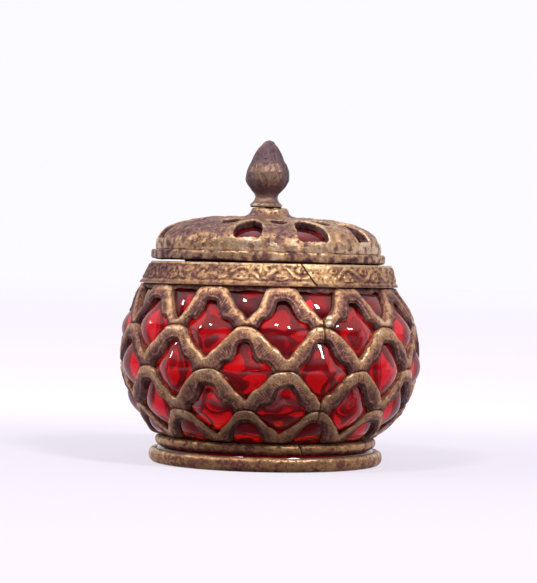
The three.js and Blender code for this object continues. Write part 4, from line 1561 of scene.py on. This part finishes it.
@dataclass(frozen=True)
class Finial:
    """The bud on top of the lid: overlapping leaves on a waisted stem, leaning a little."""

    flange: float = 5.45
    neck: float = 3.85
    bud: float = 7.25
    tang: float = 1.6
    head: float = 3.0
    head_height: float = 1.3
    leaves: int = 5
    leaf_relief: float = 0.24
    facet_relief: float = 0.16
    seat_gap: float = 0.3
    shift: float = 1.25
    lean: float = math.radians(1.2)
    columns: int = 150
    levels: int = 120

    def build(self, brass: Finish) -> None:
        """Builds the finial with its tang.

        Args:
            brass: Its finish.
        """
        low, high = span("finial")
        base = span("lid_dome")[1] + self.seat_gap
        tall = high - base
        neck, bud = self.neck, self.bud
        outline = Curve(
            (
                (0.0, self.flange - 0.4), (0.45, self.flange), (1.1, self.flange - 0.15),
                (2.0, neck + 0.55), (3.4, neck), (4.5, neck + 0.35), (6.0, neck + 1.55),
                (7.7, bud - 0.7), (9.7, bud), (11.7, bud - 0.1), (13.8, bud - 0.75),
                (15.8, bud - 1.65), (17.9, bud - 2.5), (19.9, bud - 3.65), (21.4, bud - 5.0),
                (tall - 0.35, 1.35), (tall, 0.05),
            )
        )
        up = tall * np.linspace(0, 1, self.levels) ** 0.95
        azimuth = np.linspace(0, TURN, self.columns, endpoint=False)[None]
        level = up[:, None]
        on_bud = ease(level, 4.5, 8.0) * ease(level, tall, tall - 3.5)
        lobes = np.zeros((self.levels, self.columns))
        for tier, (foot, length, turn) in enumerate(((4.2, 11.0, 0.0), (8.0, 19.5, 0.6))):
            swirl = azimuth + turn + 0.035 * (level - foot) * (1 if tier else 0.6)
            across = np.abs(((swirl * self.leaves / TURN) % 1) - 0.5) * 2
            tip = foot + length * (1 - across**2.2)
            lobes += ease(level, tip + 0.5, tip - 0.3) * self.leaf_relief
        facets = self.facet_relief * np.cos(azimuth * 6 + level * 0.09 + 0.8)
        radius = outline(level) - 0.35 * on_bud + on_bud * (lobes + facets)
        points = polar(radius, azimuth, base + level)
        points[..., 0] += math.sin(self.lean) * level - self.shift
        points += (0.05 * Lumps(71, 1.8)(points) * ease(level, 0, 1))[..., None]
        step = self.head_height
        stem = [
            (0.05, low), (self.head * 0.7, low + step * 0.25), (self.head, low + step * 0.8),
            (self.head - 0.2, low + step), (self.tang, low + step), (self.tang, base - 0.01),
        ]
        shank = spun(stem, azimuth)
        finial = skin("bud_finial", np.concatenate((shank, points)), Ends.CAPPED)
        place = places(finial.data) / MM
        lightening = 0.28 * ease(Lumps(72, 4.5)(place), 0.2, 0.9)
        lightening += 0.34 * ease(place[:, 2], base + 6.5, base + 3.0)
        wear(finial, 10, 0.35, lightening - 0.22)
        fit(askew(finial), "finial", brass)


@dataclass(frozen=True)
class Lamp:
    """A soft square lamp that points at the middle of the pot."""

    name: str
    azimuth: float
    elevation: float
    distance: float
    size: float
    watts: float

    def hang(self, target: Vector) -> None:
        """Puts the lamp in the scene.

        Args:
            target: The point that it faces, in metres.
        """
        data = bpy.data.lights.new(self.name, "AREA")
        data.energy, data.size, data.color = self.watts, self.size, (1.0, 0.985, 1.0)
        lamp = bpy.data.objects.new(self.name, data)
        rise = math.radians(self.elevation)
        away = Vector(polar(math.cos(rise), math.radians(self.azimuth), math.sin(rise)))
        lamp.location = target + away * self.distance
        lamp.rotation_euler = away.to_track_quat("Z", "Y").to_euler()
        bpy.context.scene.collection.objects.link(lamp)


@dataclass(frozen=True)
class Studio:
    """A white table in white surroundings, a few soft lamps, and the camera."""

    paper: Colour = (0.975, 0.965, 1.0)
    cloth: Colour = (0.950, 0.900, 1.0)
    surroundings: float = 0.49
    room_darkness: float = 0.96
    table_glow: float = 0.65
    table_shade: float = 0.28
    table_side: float = 6.0
    table_gap: float = 0.00002
    lamp_target: float = 0.05
    sensor_width: float = 36.0
    camera_distance: float = 0.762
    camera_height: float = 0.0681
    camera_tilt: float = math.radians(-0.754)
    camera_roll: float = math.radians(1.25)
    focal_pixels: float = 2240.0
    frame_height: float = 583.0
    lamps: tuple[Lamp, ...] = (
        Lamp("key", 36, 42, 1.0, 0.16, 6.1),
        Lamp("second", -36, 52, 1.0, 0.14, 3.3),
        Lamp("left", -84, 30, 1.0, 0.16, 1.8),
    )

    def world(self) -> None:
        """White surroundings, with the dark of the room behind the camera in reflections."""
        world = bpy.data.worlds.new("surroundings")
        shader = Shader(world)
        x, y, z = shader.axes(shader.node("ShaderNodeTexCoord", output="Generated"))
        room = y.rise(0.25, -0.2) * x.rise(0.95, 0.8) * (z.rise(0.68, 0.38) + z.rise(0.88, 0.99) * 0.2)
        fill, shown, unlit = (
            shader.node("ShaderNodeBackground", None, {"Color": (*self.paper, 1), "Strength": strength})
            for strength in (self.surroundings, 1.0, 0.0)
        )
        dark = room * shader.ray("Glossy") * self.room_darkness
        surface = shader.either(dark, shader.either(shader.seen(), fill, shown), unlit)
        shader.node("ShaderNodeOutputWorld", None, {"Surface": surface})
        bpy.context.scene.world = world

    def table(self) -> None:
        """A wide white table top that takes the pot's shadow and fades into the white."""
        mesh = bpy.data.meshes.new("table_top")
        side = self.table_side
        corners = [(-side, -side, 0), (side, -side, 0), (side, side, 0), (-side, side, 0)]
        mesh.from_pydata(corners, [], [(0, 1, 2, 3)])
        table = bpy.data.objects.new("table_top", mesh)
        table.location.z = -self.table_gap
        bpy.context.scene.collection.objects.link(table)
        shader = Shader.named("table_paper")
        white = tuple(self.table_shade * c for c in self.cloth)
        matt = shader.node("ShaderNodeBsdfDiffuse", None, {"Color": (*white, 1)})
        place = shader.place()
        away = shader.node("ShaderNodeVectorMath", {"operation": "LENGTH"}, {0: place}, "Value")
        x, y, _ = shader.axes(place)
        # Painted shade: in reflections the table just in front of the pot is darkened, in place of the
        # pot's shadow there; it lightens further out, most of all in one painted patch of light.
        patch = away.rise(0.11, 0.20) * x.rise(-0.15, -0.05) * x.rise(0.13, 0.04)
        lit = 0.07 + away.rise(0.06, 0.16) * 0.22 + patch * 0.7
        dark = y.rise(0.0, -0.05) * shader.ray("Glossy") * (1 - lit)
        far = 1 - self.table_shade * self.surroundings
        behind = y.rise(0.06, 0.30)
        spread = behind + (1 - behind) * away.rise(0.3, 0.9)
        share = self.table_glow + spread * (far - self.table_glow)
        tint = shader.blend(y.rise(1.0, 4.5), self.cloth, self.paper)
        glow, unlit = (
            shader.node("ShaderNodeEmission", None, {"Color": tint, "Strength": power})
            for power in (1.0, 0.0)
        )
        shown = shader.node("ShaderNodeMixShader", None, {0: shader.seen() * share, 2: glow})
        both = shader.node("ShaderNodeAddShader", None, {0: matt, 1: shown})
        shader.node("ShaderNodeOutputMaterial", None, {"Surface": shader.either(dark, both, unlit)})
        mesh.materials.append(shader.owner)

    def camera(self) -> None:
        """Sets the camera where the photograph was taken."""
        data = bpy.data.cameras.new("camera")
        data.sensor_width = self.sensor_width
        data.lens = self.focal_pixels / self.frame_height * self.sensor_width
        data.clip_start, data.clip_end = 0.01, 50.0
        camera = bpy.data.objects.new("camera", data)
        aim = Matrix.Rotation(math.pi / 2 + self.camera_tilt, 4, "X")
        roll = Matrix.Rotation(self.camera_roll, 4, "Z")
        place = Matrix.Translation((0.0, -self.camera_distance, self.camera_height))
        camera.matrix_world = place @ aim @ roll
        bpy.context.scene.collection.objects.link(camera)
        bpy.context.scene.camera = camera

    def build(self) -> None:
        """Builds the whole studio."""
        bpy.context.scene.view_settings.view_transform = "Standard"
        self.camera()
        self.world()
        self.table()
        for lamp in self.lamps:
            lamp.hang(Vector((0, 0, self.lamp_target)))
        log.info("studio: %d lamps", len(self.lamps))


def main() -> None:
    """Builds the pot and its studio."""
    Studio().build()
    cast = CastBrass(worn_to=0.88, bright=(0.60, 0.44, 0.30), glint=0.35, specular=0.2).material()
    # Patina pushed towards purple-grey: partly the lid's own patina, partly painted reflection of the pale
    # surroundings on its upper faces.
    purple = CastBrass(
        name="handled_brass", dark=(0.060, 0.024, 0.026), middle=(0.190, 0.092, 0.086),
        gold=(0.50, 0.292, 0.150), bright=(0.78, 0.62, 0.47), worn_from=0.32, worn_to=0.84,
        blotches=1.2, mottling=1.4, glint=0.4,
    ).material()
    # Dark purple-grey patina: partly the bud's own patina, partly painted reflection of the pale
    # surroundings on its upper faces.
    bud = CastBrass(
        name="bud_brass", dark=(0.046, 0.022, 0.025), middle=(0.145, 0.086, 0.094),
        gold=(0.35, 0.205, 0.125), worn_from=0.40, worn_to=0.95,
        blotches=1.3, mottling=0.9, speckle=0.2, glint=0.1,
    ).material()
    # Redder than the other brass: painted light for the red that the glass throws onto the foot.
    ruddy = CastBrass(
        name="ruddy_brass", dark=(0.060, 0.018, 0.018), middle=(0.175, 0.058, 0.048),
        gold=(0.46, 0.250, 0.105), worn_to=0.85, blotches=1.4,
    ).material()
    hatched = CastBrass(
        name="hatched_brass", dark=(0.080, 0.028, 0.028), middle=(0.265, 0.112, 0.090),
        gold=(0.56, 0.310, 0.150), bright=(0.66, 0.47, 0.34), worn_to=0.88,
        mottling=1.5, glint=0.65, hatch_pitch=Cage.hatch_pitch,
    ).material()
    dull = CastBrass(name="dull_brass", worn_from=0.7, worn_to=1.2).material()
    # Pale, bright colours: the brighter metal of the braze, lightened further as a painted highlight for
    # the bead's glint.
    braze = CastBrass(
        name="bright_braze", dark=(0.20, 0.13, 0.09), middle=(0.50, 0.36, 0.22),
        gold=(0.74, 0.53, 0.36), worn_from=0.2, worn_to=0.7,
    ).material()
    ruby = RubyGlass().material()
    # Painted shade: the lining is a darker copy of the ruby glass, as it lies in the shade of the dome.
    lining = RubyGlass(name="lining_glass", tint=(0.50, 0.012, 0.024), shaded_edges=False).material()
    barrel = Barrel(foot_z=span("cage_row_4")[0], top_z=span("cage_row_1")[1])
    cage = Cage(barrel)
    cage.build(hatched, braze)
    GlassJar(cage).build(ruby)
    Foot().build(ruddy, cage.seam_azimuth)
    Collar(cage.seam_azimuth).build(cast)
    Lid().build(purple, dull, lining)
    Finial().build(bud)


if __name__ == "__main__":
    logging.basicConfig(level=logging.INFO, format="%(name)s: %(message)s")
    main()
